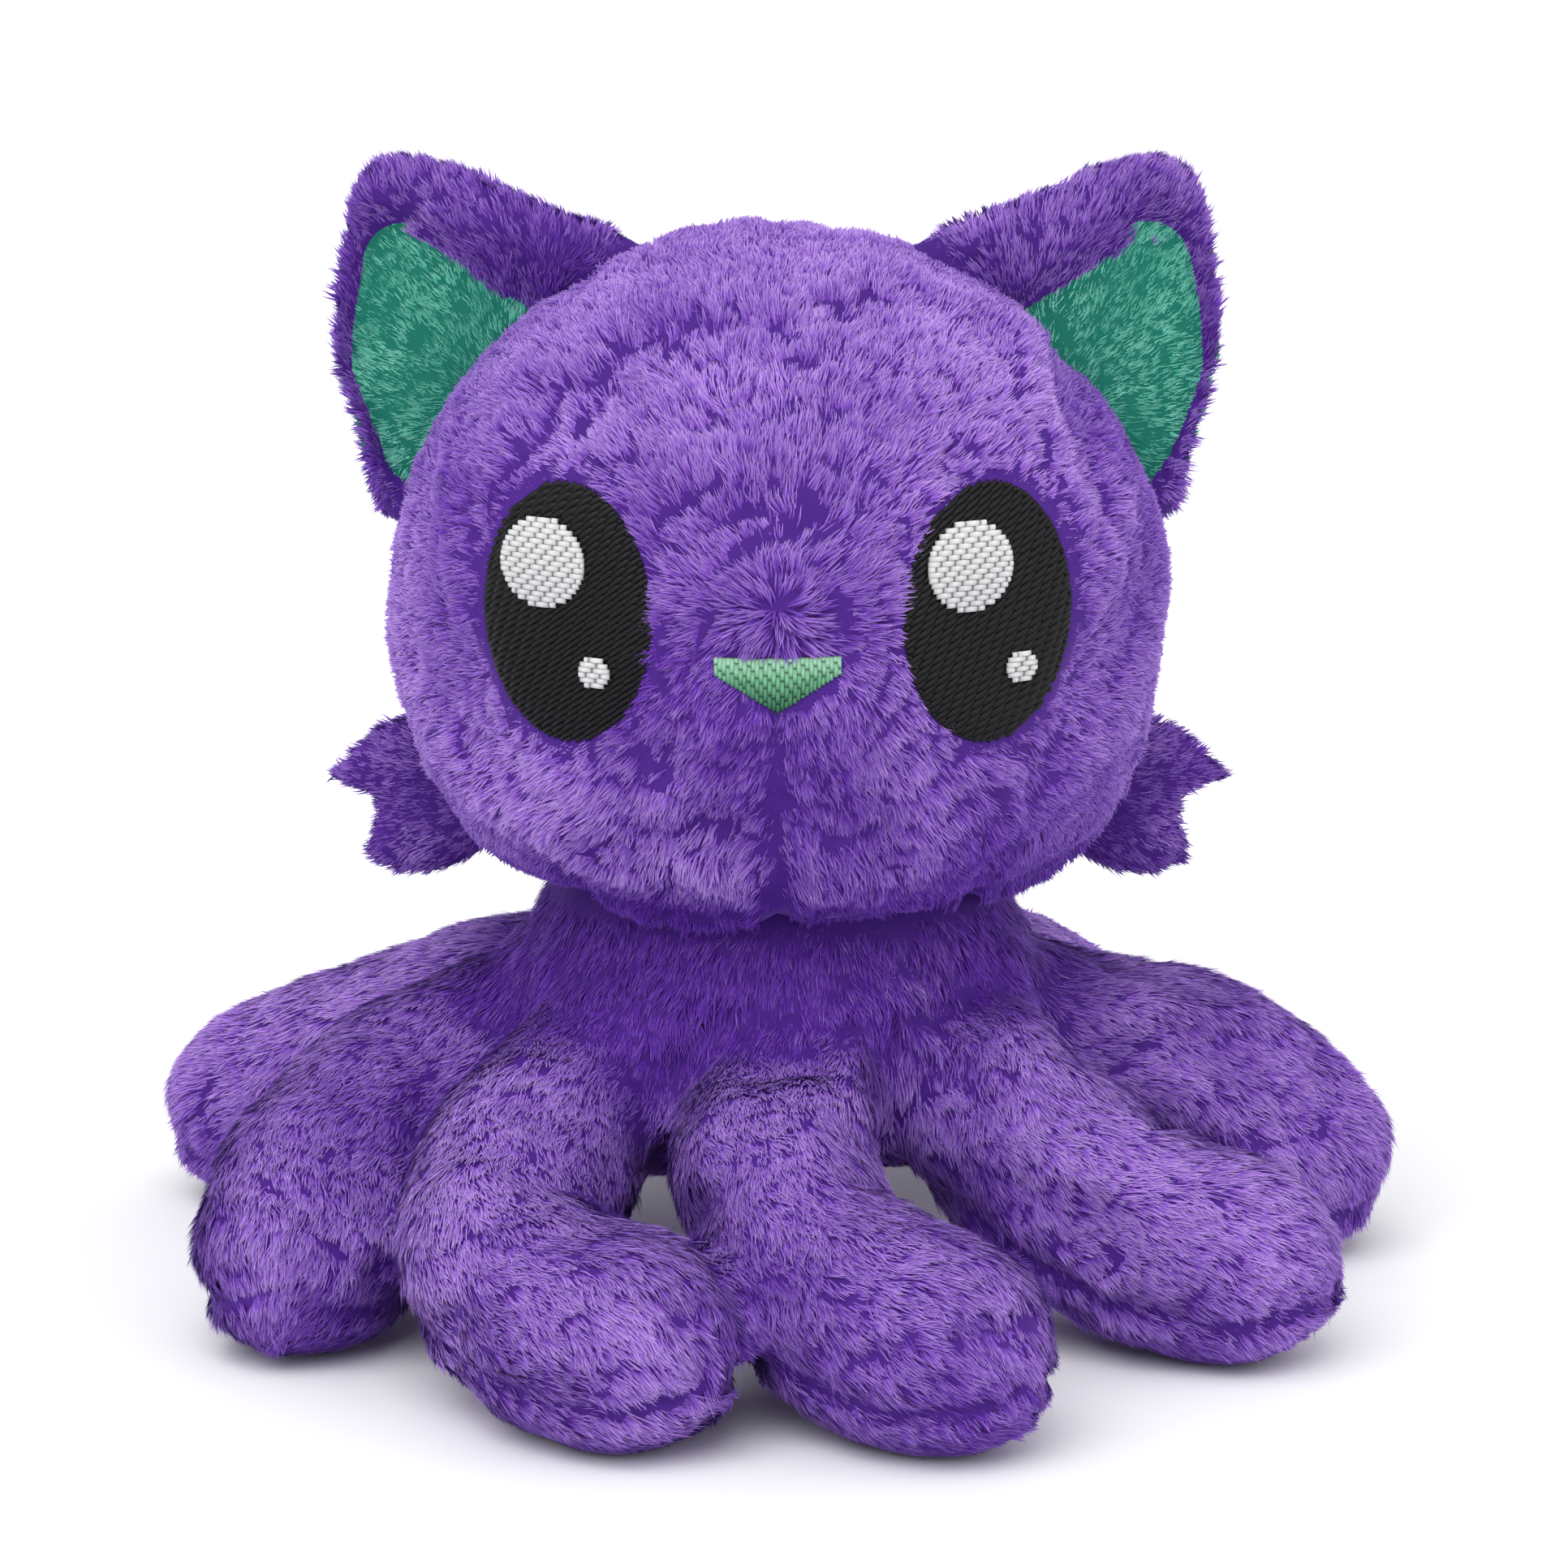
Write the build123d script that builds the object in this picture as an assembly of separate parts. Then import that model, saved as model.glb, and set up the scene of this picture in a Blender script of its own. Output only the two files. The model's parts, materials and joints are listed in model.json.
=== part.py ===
from build123d import *
import os
from math import atan2, cos, pi, radians, sin, sqrt, tan

# A stuffed toy: a round, cat-eared head on a short body with eight drooping arms, about 200 mm tall.
# The covers are 3 mm pile fabric, nap included, sewn over loose stuffing. +Z is up and -Y is the face.
# The toy stands on the flattened undersides of its eight arm tips, at z = 0.
# Everything is laid out about the neck's axis first, and moved at the end so that the origin lies at the
# centre of the bottom of the whole toy's box.

# ---- driving dimensions, in millimetres -------------------------------------------------------------
FABRIC = 3.0            # cover thickness with its nap
SLACK = 0.25            # between the stuffing and the inside of its cover
SEAM_GAP = 0.3          # between two panels that are sewn edge to edge

HEAD_Z = 123.5          # height of the head's widest level
HEAD_HALF_WIDTH = 67.0
HEAD_RISE = 61.0        # from its widest level up to the crown
HEAD_SIDE_RADIUS = 50.0  # curve round the upper sides
CHEEK_RADIUS = 110.0    # flatter curve of the cheeks, below the widest level
CHEEK_TURN = 20.0       # degrees of that curve, down to the jowl
JOWL_RADIUS = 22.0      # tighter curve from the cheeks to the flat underside

NECK_RADIUS = 22.0      # a plug of stuffing that carries the head
NECK_BOTTOM = 50.0
NECK_TOP = 70.6
NECK_DOME = 70.0        # radius of its domed top
NECK_CLEAR = 0.8
COLLAR_LOW, COLLAR_HIGH = 63.4, 67.5
NECK_SEAM_RADIUS = 28.0
THREAD = 0.7            # thickness of a doubled seam thread

TORSO_RADIUS = 39.5
TORSO_TOP = 62.5
TORSO_BOTTOM = 24.0
SHOULDER_ROUND = 12.5
HEM_ROUND = 8.0
BELLY_RADIUS = 28.0     # the round panel that closes the body underneath

ARM_COUNT = 8
ARM_PIVOT_RADIUS = 48.0  # from the neck's axis to each arm's root
ARM_PIVOT_Z = 40.0
ARM_FIRST_ANGLE = -42.0  # round from the front, towards +X
ARM_ROOT_RADIUS = 15.5
ARM_RADIUS = 17.2
ARM_TIP_RADIUS = 18.0
ARM_TIP_Z = 17.1        # under the tip's radius, which leaves the flat that the toy stands on
ARM_ROOT_RUN = 7.0      # straight length in which the root widens to the arm
SOCKET_CLEAR = 0.9      # between an arm's round root and the hollow that it turns in

# Each arm's knee and tip, round from the front: the x, y, z of the knee and the x, y of the tip.
ARM_BENDS = [
    ((-54, -80, 20), (-25, -99)),
    ((-1, -84, 22), (25, -101)),
    ((53, -50, 21), (75, -55)),
    ((78, 4, 33), (91, 8)),
    ((44, 58, 31), (53, 85)),
    ((-7, 76, 32), (-23, 98)),
    ((-66, 33, 31), (-94, 40)),
    ((-75, -28, 27), (-80, -50)),
]

EAR_LEAN = 50.0         # the ear's middle line leans this far out from upright, in degrees
EAR_THICK = 8.0
EAR_LINING_THICK = 2.0  # the lining lies a little below the border
# Discs that the ear's outline and its lining are drawn round: x towards the crown, y up from the seam on
# the head, and radius. The border is wide on the crown side and narrow on the outer side.
EAR_OUTLINE = [(8, 28.5, 10), (-10, 15, 11.5), (-28, -4, 8), (25.5, -10, 6)]
EAR_LINING = [(0, 22, 8), (-14, 15, 6.5), (-25, 1, 4.5), (5, -2, 4.5), (-25, -16, 4.5), (5, -16, 4.5)]
EAR_CLEAR = 2.6         # between the head and the ear's sewn edge
EAR_Y = 4.0             # the ear stands a little behind the head's middle

TUFT_THICK = 5.0
TUFT_Y = 8.0
TUFT_CLEAR = 1.3        # between the head and the tuft's sewn edge
# The tuft's outline on the right side, in x and z, from the top of its root round both points.
TUFT_OUTLINE = [(58, 98), (71, 96), (80, 87), (71, 83), (73, 72), (63, 67.5), (50, 72), (50, 88)]
STITCH_LAYER = 0.8      # how far an embroidered patch stands off the cover
EYE_X, EYE_Z = 34.5, 127.0
EYE_HALF_WIDTH, EYE_HALF_HEIGHT = 14.0, 21.0
GLEAM_RADIUS = 7.0      # a round highlight high in each eye
GLEAM_IN, GLEAM_UP = 3.5, 8.0       # its place from the eye's middle, towards the nose and up
GLINT_RADIUS = 2.6      # and a small one low on its other side
GLINT_OUT, GLINT_DOWN = 5.0, 9.0
NOSE_Z = 118.0
NOSE_HALF_WIDTH, NOSE_HEIGHT = 9.0, 8.5
NOSE_CORNER = 2.2
LAYER_GAP = 0.05        # between the cover and an embroidered patch
FAR = 400.0             # longer than anything here, for cutting

SIDE_CENTRE = HEAD_HALF_WIDTH - HEAD_SIDE_RADIUS
CROWN_RADIUS = (SIDE_CENTRE**2 + HEAD_RISE**2 - HEAD_SIDE_RADIUS**2) / (2 * (HEAD_RISE - HEAD_SIDE_RADIUS))
CROWN_DROP = CROWN_RADIUS - HEAD_RISE   # its centre lies this far below the widest level
CROWN_TURN = atan2(SIDE_CENTRE, CROWN_DROP)  # where the crown's curve runs into the side's


# ---- small helpers ----------------------------------------------------------------------------------
def half_space(point, normal):
    """A large block on the side of a plane that its normal points to."""
    plane = Plane(origin=point, z_dir=normal)
    return plane * Box(FAR, FAR, FAR, align=(Align.CENTER, Align.CENTER, Align.MIN))


def one_side(shape, point, normal):
    return shape & half_space(point, normal)


def hull_of(discs):
    """The outline drawn tight round several discs."""
    return make_hull([edge for disc in discs for edge in disc.edges()])


def head_outline(inset):
    """The head's right half in side view, about its widest level, drawn in from the outside by inset."""

    def curve(centre, radius, start, end):
        """Arc between two directions, in radians from straight up."""
        r = radius - inset
        spots = [(centre[0] + r * sin(a), centre[1] + r * cos(a)) for a in (start, (start + end) / 2, end)]
        return ThreePointArc(*spots)

    cheek_end = pi / 2 + radians(CHEEK_TURN)
    cheek_centre = HEAD_HALF_WIDTH - CHEEK_RADIUS
    jowl = (
        cheek_centre + (CHEEK_RADIUS - JOWL_RADIUS) * sin(cheek_end),
        (CHEEK_RADIUS - JOWL_RADIUS) * cos(cheek_end),
    )
    curves = [
        curve((0, -CROWN_DROP), CROWN_RADIUS, 0, CROWN_TURN),
        curve((SIDE_CENTRE, 0), HEAD_SIDE_RADIUS, CROWN_TURN, pi / 2),
        curve((cheek_centre, 0), CHEEK_RADIUS, pi / 2, cheek_end),
        curve(jowl, JOWL_RADIUS, cheek_end, pi),
    ]
    top, bottom = curves[0] @ 0, curves[-1] @ 1
    return curves + [Line(bottom, (0, bottom.Y)), Line((0, bottom.Y), top)]


def head_ball(inset):
    """The head's solid of revolution, inset from its outer surface."""
    face = make_face([Plane.XZ * edge for edge in head_outline(inset)])
    return Pos(0, 0, HEAD_Z) * revolve(face, Axis.Z, 360)


# ---- head -------------------------------------------------------------------------------------------
def head_panels():
    """Two face panels and two back panels, sewn along the middle and round the sides."""
    shell = head_ball(0) - head_ball(FABRIC)
    gap = SEAM_GAP / 2
    panels = {}
    for end, y in (("face", -1), ("head_back", 1)):
        half = one_side(shell, (0, y * gap, 0), (0, y, 0))
        for side, x in (("left", -1), ("right", 1)):
            panels[f"{end}_panel_{side}"] = one_side(half, (x * gap, 0, 0), (x, 0, 0))
    return panels


def stitched_patch(outline, lift):
    """An embroidered patch: outline, drawn in x and z, laid on the face at that height off the cover."""
    column = extrude(Plane.XZ * outline, amount=FAR / 2)
    return (head_ball(-lift - STITCH_LAYER) - head_ball(-lift)) & column


def face_embroidery():
    """Plain oval eyes with two round highlights each, and a small rounded nose."""
    parts = {}
    for side, x in (("left", -1), ("right", 1)):
        eye = Pos(x * EYE_X, EYE_Z) * Ellipse(EYE_HALF_WIDTH, EYE_HALF_HEIGHT)
        gleam = Pos(x * (EYE_X - GLEAM_IN), EYE_Z + GLEAM_UP) * Circle(GLEAM_RADIUS)
        glint = Pos(x * (EYE_X + GLINT_OUT), EYE_Z - GLINT_DOWN) * Circle(GLINT_RADIUS)
        parts[f"eye_{side}"] = stitched_patch(eye, LAYER_GAP)
        parts[f"eye_gleam_{side}"] = stitched_patch(gleam + glint, STITCH_LAYER + 2 * LAYER_GAP)
    reach = NOSE_HALF_WIDTH - NOSE_CORNER
    rise = NOSE_HEIGHT / 2 - NOSE_CORNER
    corners = [(-reach, rise), (reach, rise), (0, -rise)]
    nose = hull_of([Pos(x, NOSE_Z + z) * Circle(NOSE_CORNER) for x, z in corners])
    parts["nose"] = stitched_patch(nose, LAYER_GAP)
    return parts


# ---- ears -------------------------------------------------------------------------------------------
def ear_outline(side, discs, inset):
    """The outline round those discs, drawn in by inset."""
    return hull_of([Pos(-side * x, y) * Circle(radius - inset) for x, y, radius in discs])


def surface_reach(angle):
    """How far the head's surface is from its centre, at that angle from upright in its side view."""
    a = radians(angle)
    join = (SIDE_CENTRE + HEAD_SIDE_RADIUS * sin(CROWN_TURN), HEAD_SIDE_RADIUS * cos(CROWN_TURN))
    if a < atan2(*join):
        centre, radius = (0, -CROWN_DROP), CROWN_RADIUS
    else:
        centre, radius = (SIDE_CENTRE, 0), HEAD_SIDE_RADIUS
    along = centre[0] * sin(a) + centre[1] * cos(a)
    across = centre[0] * cos(a) - centre[1] * sin(a)
    return along + sqrt(radius**2 - across**2)


def ear_seat(side):
    """The ear's own frame: x along its seam, y outward from the head, z towards the face."""
    lean = radians(EAR_LEAN) * side
    out = Vector(sin(lean), 0, cos(lean))
    origin = Vector(0, EAR_Y, HEAD_Z) + out * surface_reach(EAR_LEAN)
    return Plane(origin=origin, x_dir=(cos(lean), 0, -sin(lean)), z_dir=(0, -1, 0))


def ear(side, name):
    """Back panel, border, coloured lining and thin wadding, cut to follow the head's curve."""
    seat = ear_seat(side)
    whole = ear_outline(side, EAR_OUTLINE, 0)
    window = ear_outline(side, EAR_LINING, 0)
    inner = ear_outline(side, EAR_LINING, SLACK)
    fill_thick = EAR_THICK - 2 * FABRIC - 2 * SLACK
    fill_z = -EAR_THICK / 2 + FABRIC + SLACK
    lining_z = fill_z + fill_thick + SLACK
    layers = {
        f"{name}_back_panel": Pos(0, 0, -EAR_THICK / 2) * extrude(whole, FABRIC),
        f"{name}_rim": Pos(0, 0, fill_z) * extrude(whole - window, EAR_THICK - FABRIC - SLACK),
        f"{name}_fill": Pos(0, 0, fill_z) * extrude(inner, fill_thick),
        f"{name}_lining": Pos(0, 0, lining_z) * extrude(inner, EAR_LINING_THICK),
    }
    clear_of_head = head_ball(-EAR_CLEAR)
    return {key: (seat * solid) - clear_of_head for key, solid in layers.items()}


# ---- cheek tufts ------------------------------------------------------------------------------------
def cheek_tuft(side, name):
    """A two-pointed flap sewn into the side seam, its front and back panels face to face."""
    flap = Polygon(*[(side * x, z) for x, z in TUFT_OUTLINE], align=None)
    flap = fillet(flap.vertices(), 1.6)
    panel = TUFT_THICK / 2 - SEAM_GAP
    panels = {}
    for face, y in (("front", TUFT_Y - TUFT_THICK / 2), ("back", TUFT_Y + SEAM_GAP)):
        block = Pos(0, y, 0) * extrude(Plane.XZ * flap, amount=-panel)
        panels[f"{name}_{face}"] = block - head_ball(-TUFT_CLEAR)
    return panels


# ---- body and neck ----------------------------------------------------------------------------------
def torso_ball(inset):
    """The body: a low drum with rounded shoulders, a rounded hem and a flat base."""
    low, high = TORSO_BOTTOM + inset, TORSO_TOP - inset
    drum = Pos(0, 0, low) * Cylinder(
        TORSO_RADIUS - inset, high - low, align=(Align.CENTER, Align.CENTER, Align.MIN)
    )
    rims = drum.edges().filter_by(GeomType.CIRCLE).sort_by(Axis.Z)
    drum = fillet(rims[0], HEM_ROUND - inset)
    rims = drum.edges().filter_by(GeomType.CIRCLE).sort_by(Axis.Z)
    return fillet(rims[-1], SHOULDER_ROUND - inset)


def arm_angle(i):
    return radians(ARM_FIRST_ANGLE + 360 / ARM_COUNT * i)


def arm_pivot(i):
    a = arm_angle(i)
    return Vector(ARM_PIVOT_RADIUS * sin(a), -ARM_PIVOT_RADIUS * cos(a), ARM_PIVOT_Z)


def torso():
    """The body's cover with its arm and neck openings, its base panel and its stuffing."""
    cover = torso_ball(0) - torso_ball(FABRIC)
    stuffing = torso_ball(FABRIC + SLACK)
    for i in range(ARM_COUNT):
        socket = Pos(arm_pivot(i)) * Sphere(ARM_ROOT_RADIUS + SOCKET_CLEAR)
        cover -= socket
        stuffing -= socket
    neck_well = Pos(0, 0, NECK_BOTTOM - NECK_CLEAR) * Cylinder(
        NECK_RADIUS + NECK_CLEAR, FAR, align=(Align.CENTER, Align.CENTER, Align.MIN)
    )
    base_cut = Pos(0, 0, TORSO_BOTTOM) * Cylinder(BELLY_RADIUS, 2 * FABRIC + 1)
    base = Pos(0, 0, TORSO_BOTTOM + FABRIC / 2) * Cylinder(BELLY_RADIUS - SEAM_GAP, FABRIC)
    return {
        "torso_cover": cover - neck_well - base_cut,
        "belly_panel": base,
        "torso_fill": stuffing - neck_well,
    }


def arm_root_seams():
    """The ring of stitches inside each arm's opening."""
    rings = []
    ring_angle = radians(36)  # from straight back along the arm
    reach = ARM_ROOT_RADIUS + SOCKET_CLEAR / 2
    for i in range(ARM_COUNT):
        a = arm_angle(i)
        inward = Vector(-sin(a), cos(a), 0)
        plane = Plane(origin=arm_pivot(i) + inward * reach * cos(ring_angle), z_dir=inward)
        rings.append(plane * Torus(reach * sin(ring_angle), SOCKET_CLEAR / 2 - 0.15))
    return Compound(rings)


def neck():
    """The domed plug of stuffing under the head, the collar of cover round it and the seam's thread."""
    plug = Pos(0, 0, NECK_BOTTOM) * Cylinder(
        NECK_RADIUS, NECK_TOP - NECK_BOTTOM, align=(Align.CENTER, Align.CENTER, Align.MIN)
    )
    plug &= Pos(0, 0, NECK_TOP - NECK_DOME) * Sphere(NECK_DOME)
    collar = Cylinder(NECK_RADIUS + SLACK + FABRIC, COLLAR_HIGH - COLLAR_LOW)
    collar -= Cylinder(NECK_RADIUS + SLACK, COLLAR_HIGH - COLLAR_LOW)
    return {
        "neck_fill": plug,
        "neck_collar": Pos(0, 0, (COLLAR_LOW + COLLAR_HIGH) / 2) * collar,
        "neck_seam": Pos(0, 0, TORSO_TOP + THREAD / 2 + 0.05) * Torus(NECK_SEAM_RADIUS, THREAD / 2),
    }


# ---- arms -------------------------------------------------------------------------------------------
class ArmPath:
    """The arm's middle line: straight from its root, round the knee in one arc, straight to its tip."""

    def __init__(self, i):
        (knee, tip) = ARM_BENDS[i]
        self.root = arm_pivot(i)
        self.knee = Vector(*knee)
        self.tip = Vector(*tip, ARM_TIP_Z)
        first = self.root - self.knee
        last = self.tip - self.knee
        turn = pi - radians(first.get_angle(last))
        reach = min(first.length - ARM_ROOT_RUN, last.length - 2)
        self.arc_radius = reach / tan(turn / 2)
        self.arc_start = self.knee + first.normalized() * reach
        self.arc_end = self.knee + last.normalized() * reach
        bisector = (first.normalized() + last.normalized()).normalized()
        centre = self.knee + bisector * (self.arc_radius / cos(turn / 2))
        self.arc_middle = centre - bisector * self.arc_radius

    def seam_normal(self):
        """Upward normal of the plane through root and tip in which the two panels meet."""
        chord = (self.tip - self.root).normalized()
        level = chord.cross(Vector(0, 0, 1)).normalized()
        return level.cross(chord).normalized()


def tube(path, inset):
    """The arm's rounded tube: ball root, widening neck, bent middle and a fuller, rounded tip."""
    root_r, mid_r, tip_r = (r - inset for r in (ARM_ROOT_RADIUS, ARM_RADIUS, ARM_TIP_RADIUS))
    run = path.arc_start - path.root
    widening = Plane(origin=path.root, z_dir=run) * Cone(
        root_r, mid_r, run.length, align=(Align.CENTER, Align.CENTER, Align.MIN)
    )
    arc = ThreePointArc(path.arc_start, path.arc_middle, path.arc_end)
    bend = sweep(Plane(origin=arc @ 0, z_dir=arc % 0) * Circle(mid_r), path=arc)
    last = path.tip - path.arc_end
    end = Plane(origin=path.arc_end, z_dir=last) * Cone(
        mid_r, tip_r, last.length, align=(Align.CENTER, Align.CENTER, Align.MIN)
    )
    whole = widening + bend + end + Pos(path.root) * Sphere(root_r) + Pos(path.tip) * Sphere(tip_r)
    return one_side(whole, (0, 0, inset), (0, 0, 1))


def arm(i):
    """Upper and under panels, sewn along both sides and round the tip, over the arm's stuffing."""
    path = ArmPath(i)
    shell = tube(path, 0) - tube(path, FABRIC)
    up = path.seam_normal()
    gap = up * (SEAM_GAP / 2)
    name = f"arm_{i + 1}"
    return {
        f"{name}_upper_panel": one_side(shell, path.root + gap, up),
        f"{name}_under_panel": one_side(shell, path.root - gap, -up),
        f"{name}_fill": tube(path, FABRIC + SLACK),
    }


# ---- assembly ---------------------------------------------------------------------------------------
def assembly():
    parts = {}
    parts.update(torso())
    parts["arm_root_seams"] = arm_root_seams()
    parts.update(neck())
    parts.update(head_panels())
    parts["head_fill"] = head_ball(FABRIC + SLACK)
    parts.update(face_embroidery())
    for side, x in (("left", -1), ("right", 1)):
        parts.update(ear(x, f"ear_{side}"))
        parts.update(cheek_tuft(x, f"cheek_tuft_{side}"))
    for i in range(ARM_COUNT):
        parts.update(arm(i))
    return parts


parts = assembly()
boxes = [shape.bounding_box() for shape in parts.values()]
centre_x = (min(b.min.X for b in boxes) + max(b.max.X for b in boxes)) / 2
centre_y = (min(b.min.Y for b in boxes) + max(b.max.Y for b in boxes)) / 2
print("layout moved by", round(-centre_x, 4), round(-centre_y, 4))
os.makedirs("parts", exist_ok=True)
for name, shape in parts.items():
    export_step(shape.moved(Location((-centre_x, -centre_y, 0))), f"parts/{name}.step")
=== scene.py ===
import json
import math

import bpy
import numpy as np
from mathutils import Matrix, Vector
from mathutils.bvhtree import BVHTree


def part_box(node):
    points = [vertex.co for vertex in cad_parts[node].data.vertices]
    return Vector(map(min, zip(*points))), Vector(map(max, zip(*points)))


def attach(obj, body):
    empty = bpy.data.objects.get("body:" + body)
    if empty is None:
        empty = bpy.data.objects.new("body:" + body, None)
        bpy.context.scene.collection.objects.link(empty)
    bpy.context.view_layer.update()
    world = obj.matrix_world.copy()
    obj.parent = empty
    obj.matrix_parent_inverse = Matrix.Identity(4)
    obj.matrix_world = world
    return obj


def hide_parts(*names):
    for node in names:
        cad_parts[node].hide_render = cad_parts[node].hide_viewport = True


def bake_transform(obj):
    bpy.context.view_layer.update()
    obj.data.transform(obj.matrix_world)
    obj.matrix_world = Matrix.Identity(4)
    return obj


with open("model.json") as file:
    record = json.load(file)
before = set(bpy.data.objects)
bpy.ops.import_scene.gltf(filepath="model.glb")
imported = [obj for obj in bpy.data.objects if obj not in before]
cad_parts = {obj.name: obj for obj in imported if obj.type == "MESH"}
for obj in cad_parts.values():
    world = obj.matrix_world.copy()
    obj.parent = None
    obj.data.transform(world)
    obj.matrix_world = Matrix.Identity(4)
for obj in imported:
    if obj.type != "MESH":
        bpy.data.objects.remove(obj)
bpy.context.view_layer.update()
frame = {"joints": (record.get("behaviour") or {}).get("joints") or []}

# A stuffed octopus with a cat-eared head, in short-pile plush. Shapes are worked out in millimetres about
# the neck's axis, as its covers are, and go into the frame's metres when a mesh is made.
# Every pile fibre is real mesh, so the nap catches the light.

MM = 0.001
DEGREES = 57.3          # in a radian
SEED = 361

neck_low, neck_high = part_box("neck_fill")
NECK = np.array([(neck_low.x + neck_high.x) / 2, (neck_low.y + neck_high.y) / 2, 0.0])

# ---- driving sizes, in millimetres ------------------------------------------------------------------
PILE = 4.0              # length of a fibre
PILE_LEAN = 13.0        # degrees that it stands up from the cover
PILE_WIDTH = 0.28
CLUMP_RADIUS = 0.90     # fibres gather in small tufts
CLUMPS_PER_MM2 = 0.86
FIBRES_PER_CLUMP = 6
SKIN_INSET = 0.9        # the backing lies this far inside the cover's outer face, which is the nap
ARM_PLUMP = 1.4         # an arm's backing bulges this far past the cover that it was cut as
FLOOR_GAP = 0.05
TINTS = 32              # how many shades of fibre there are
BARE_BELOW = 0.25       # no fibre grows where it would be shorter than this
ROOT_DEPTH = 0.35       # a fibre starts this far under the backing's face

HEAD_Z = 123.5
HEAD_HALF_WIDTH = 67.0
HEAD_RISE = 61.0
HEAD_SIDE_RADIUS = 50.0
CHEEK_RADIUS = 110.0
CHEEK_TURN = 20.0
JOWL_RADIUS = 22.0

ARM_RADII = (15.5, 17.2, 18.0)  # root, middle, tip
ARM_TIP_Z = 17.1
ARM_ROOT_RUN = 7.0
# Each arm's knee and tip, as its covers are cut: the x, y, z of the knee and the x, y of the tip.
ARM_BENDS = [
    ((-54, -80, 20), (-25, -99)),
    ((-1, -84, 22), (25, -101)),
    ((53, -50, 21), (75, -55)),
    ((78, 4, 33), (91, 8)),
    ((44, 58, 31), (53, 85)),
    ((-7, 76, 32), (-23, 98)),
    ((-66, 33, 31), (-94, 40)),
    ((-75, -28, 27), (-80, -50)),
]
ARM_SEAM_DROP = 22.0    # degrees below level at which an arm's two panels are sewn
ARM_STARTS = 47.0       # from the neck's axis: where an arm's cover begins, and where it moves fully with it

EAR_LEAN = 50.0
EAR_Y = 4.0
# Discs round which the ear and its lining are drawn: x towards the crown, y outward, and radius.
EAR_OUTLINE = [(8, 28.5, 10), (-10, 15, 11.5), (-28, -4, 8), (25.5, -10, 6)]
EAR_LINING = [(0, 22, 8), (-14, 15, 6.5), (-25, 1, 4.5), (5, -2, 4.5), (-25, -8, 4.5), (5, -8, 4.5)]

EYE_X, EYE_Z = 34.5, 127.0
EYE_HALF_WIDTH, EYE_HALF_HEIGHT = 14.0, 21.0
GLEAM_RADIUS, GLINT_RADIUS = 7.0, 2.6
NOSE_Z = 118.0
NOSE_HALF_WIDTH, NOSE_HEIGHT = 9.0, 8.5
NOSE_CORNER = 2.2
NAP_CENTRE = (0, -62, 128)  # the face's pile parts here, above the nose

TUFT_MIDDLE = (62, 84)
TUFT_Y = 8.0
TUFT_OUTLINE = [
    (56, 98), (63, 98.5), (71, 96), (80.5, 86.5), (74, 84.5), (70.5, 82),
    (73.5, 72), (67, 69), (60, 69), (50, 74), (50, 88),
]


# ---- small vector helpers ---------------------------------------------------------------------------
def unit(v):
    v = np.asarray(v, float)
    return v / np.maximum(np.linalg.norm(v, axis=-1, keepdims=True), 1e-9)


def smooth(value, low, high):
    """0 below low, 1 above high, and a smooth step between."""
    t = np.clip((value - low) / (high - low), 0, 1)
    return t * t * (3 - 2 * t)


def across(v, n):
    """The part of v that lies in the surface whose normal is n."""
    return v - n * (v * n).sum(-1, keepdims=True)


def turned(a, b, angle):
    """Directions from a towards b, by an angle for each."""
    return a * np.cos(angle)[:, None] + b * np.sin(angle)[:, None]


def scaled(ring, middle, scale):
    return middle + (ring - middle) * scale


def rounded(ring):
    """A ring with its corners eased."""
    for _ in range(3):
        ring = (np.roll(ring, 1, axis=0) + ring * 2 + np.roll(ring, -1, axis=0)) / 4
    return ring


def ring_about_axis(r, z, turn):
    """A level ring of points round the neck's axis, from the front."""
    return np.stack([r * np.sin(turn), -r * np.cos(turn), np.full(len(turn), z)], 1)


def ripple(p, size, seed):
    """Smooth noise from -1 to 1 at points p, with features of about that size."""
    rng = np.random.default_rng(SEED + seed)
    total = np.zeros(len(p))
    for _ in range(5):
        way = unit(rng.normal(size=3)) * (2 * math.pi / (size * rng.uniform(0.8, 1.9)))
        total += np.sin(p @ way + rng.uniform(0, 6.28))
    return total / 2.6


# ---- meshes -----------------------------------------------------------------------------------------
def to_frame(points):
    return np.asarray(points, float) * MM + NECK


def to_layout(points):
    return (np.asarray(points, float) - NECK) / MM


def make_object(name, points, faces, material):
    """A mesh from points in millimetres and a list or array of faces."""
    mesh = bpy.data.meshes.new(name)
    mesh.from_pydata(to_frame(points).tolist(), [], [list(map(int, f)) for f in faces])
    mesh.update()
    obj = bpy.data.objects.new(name, mesh)
    bpy.context.scene.collection.objects.link(obj)
    if material:
        mesh.materials.append(material)
    return obj


def read_mesh(obj):
    """Vertices in millimetres, triangles and vertex normals of an object with its modifiers applied."""
    depsgraph = bpy.context.evaluated_depsgraph_get()
    mesh = obj.evaluated_get(depsgraph).to_mesh()
    mesh.calc_loop_triangles()
    points = np.empty(len(mesh.vertices) * 3)
    mesh.vertices.foreach_get("co", points)
    normals = np.empty(len(mesh.vertices) * 3)
    mesh.vertices.foreach_get("normal", normals)
    triangles = np.empty(len(mesh.loop_triangles) * 3, np.int64)
    mesh.loop_triangles.foreach_get("vertices", triangles)
    obj.evaluated_get(depsgraph).to_mesh_clear()
    return to_layout(points.reshape(-1, 3)), triangles.reshape(-1, 3), normals.reshape(-1, 3)


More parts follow.
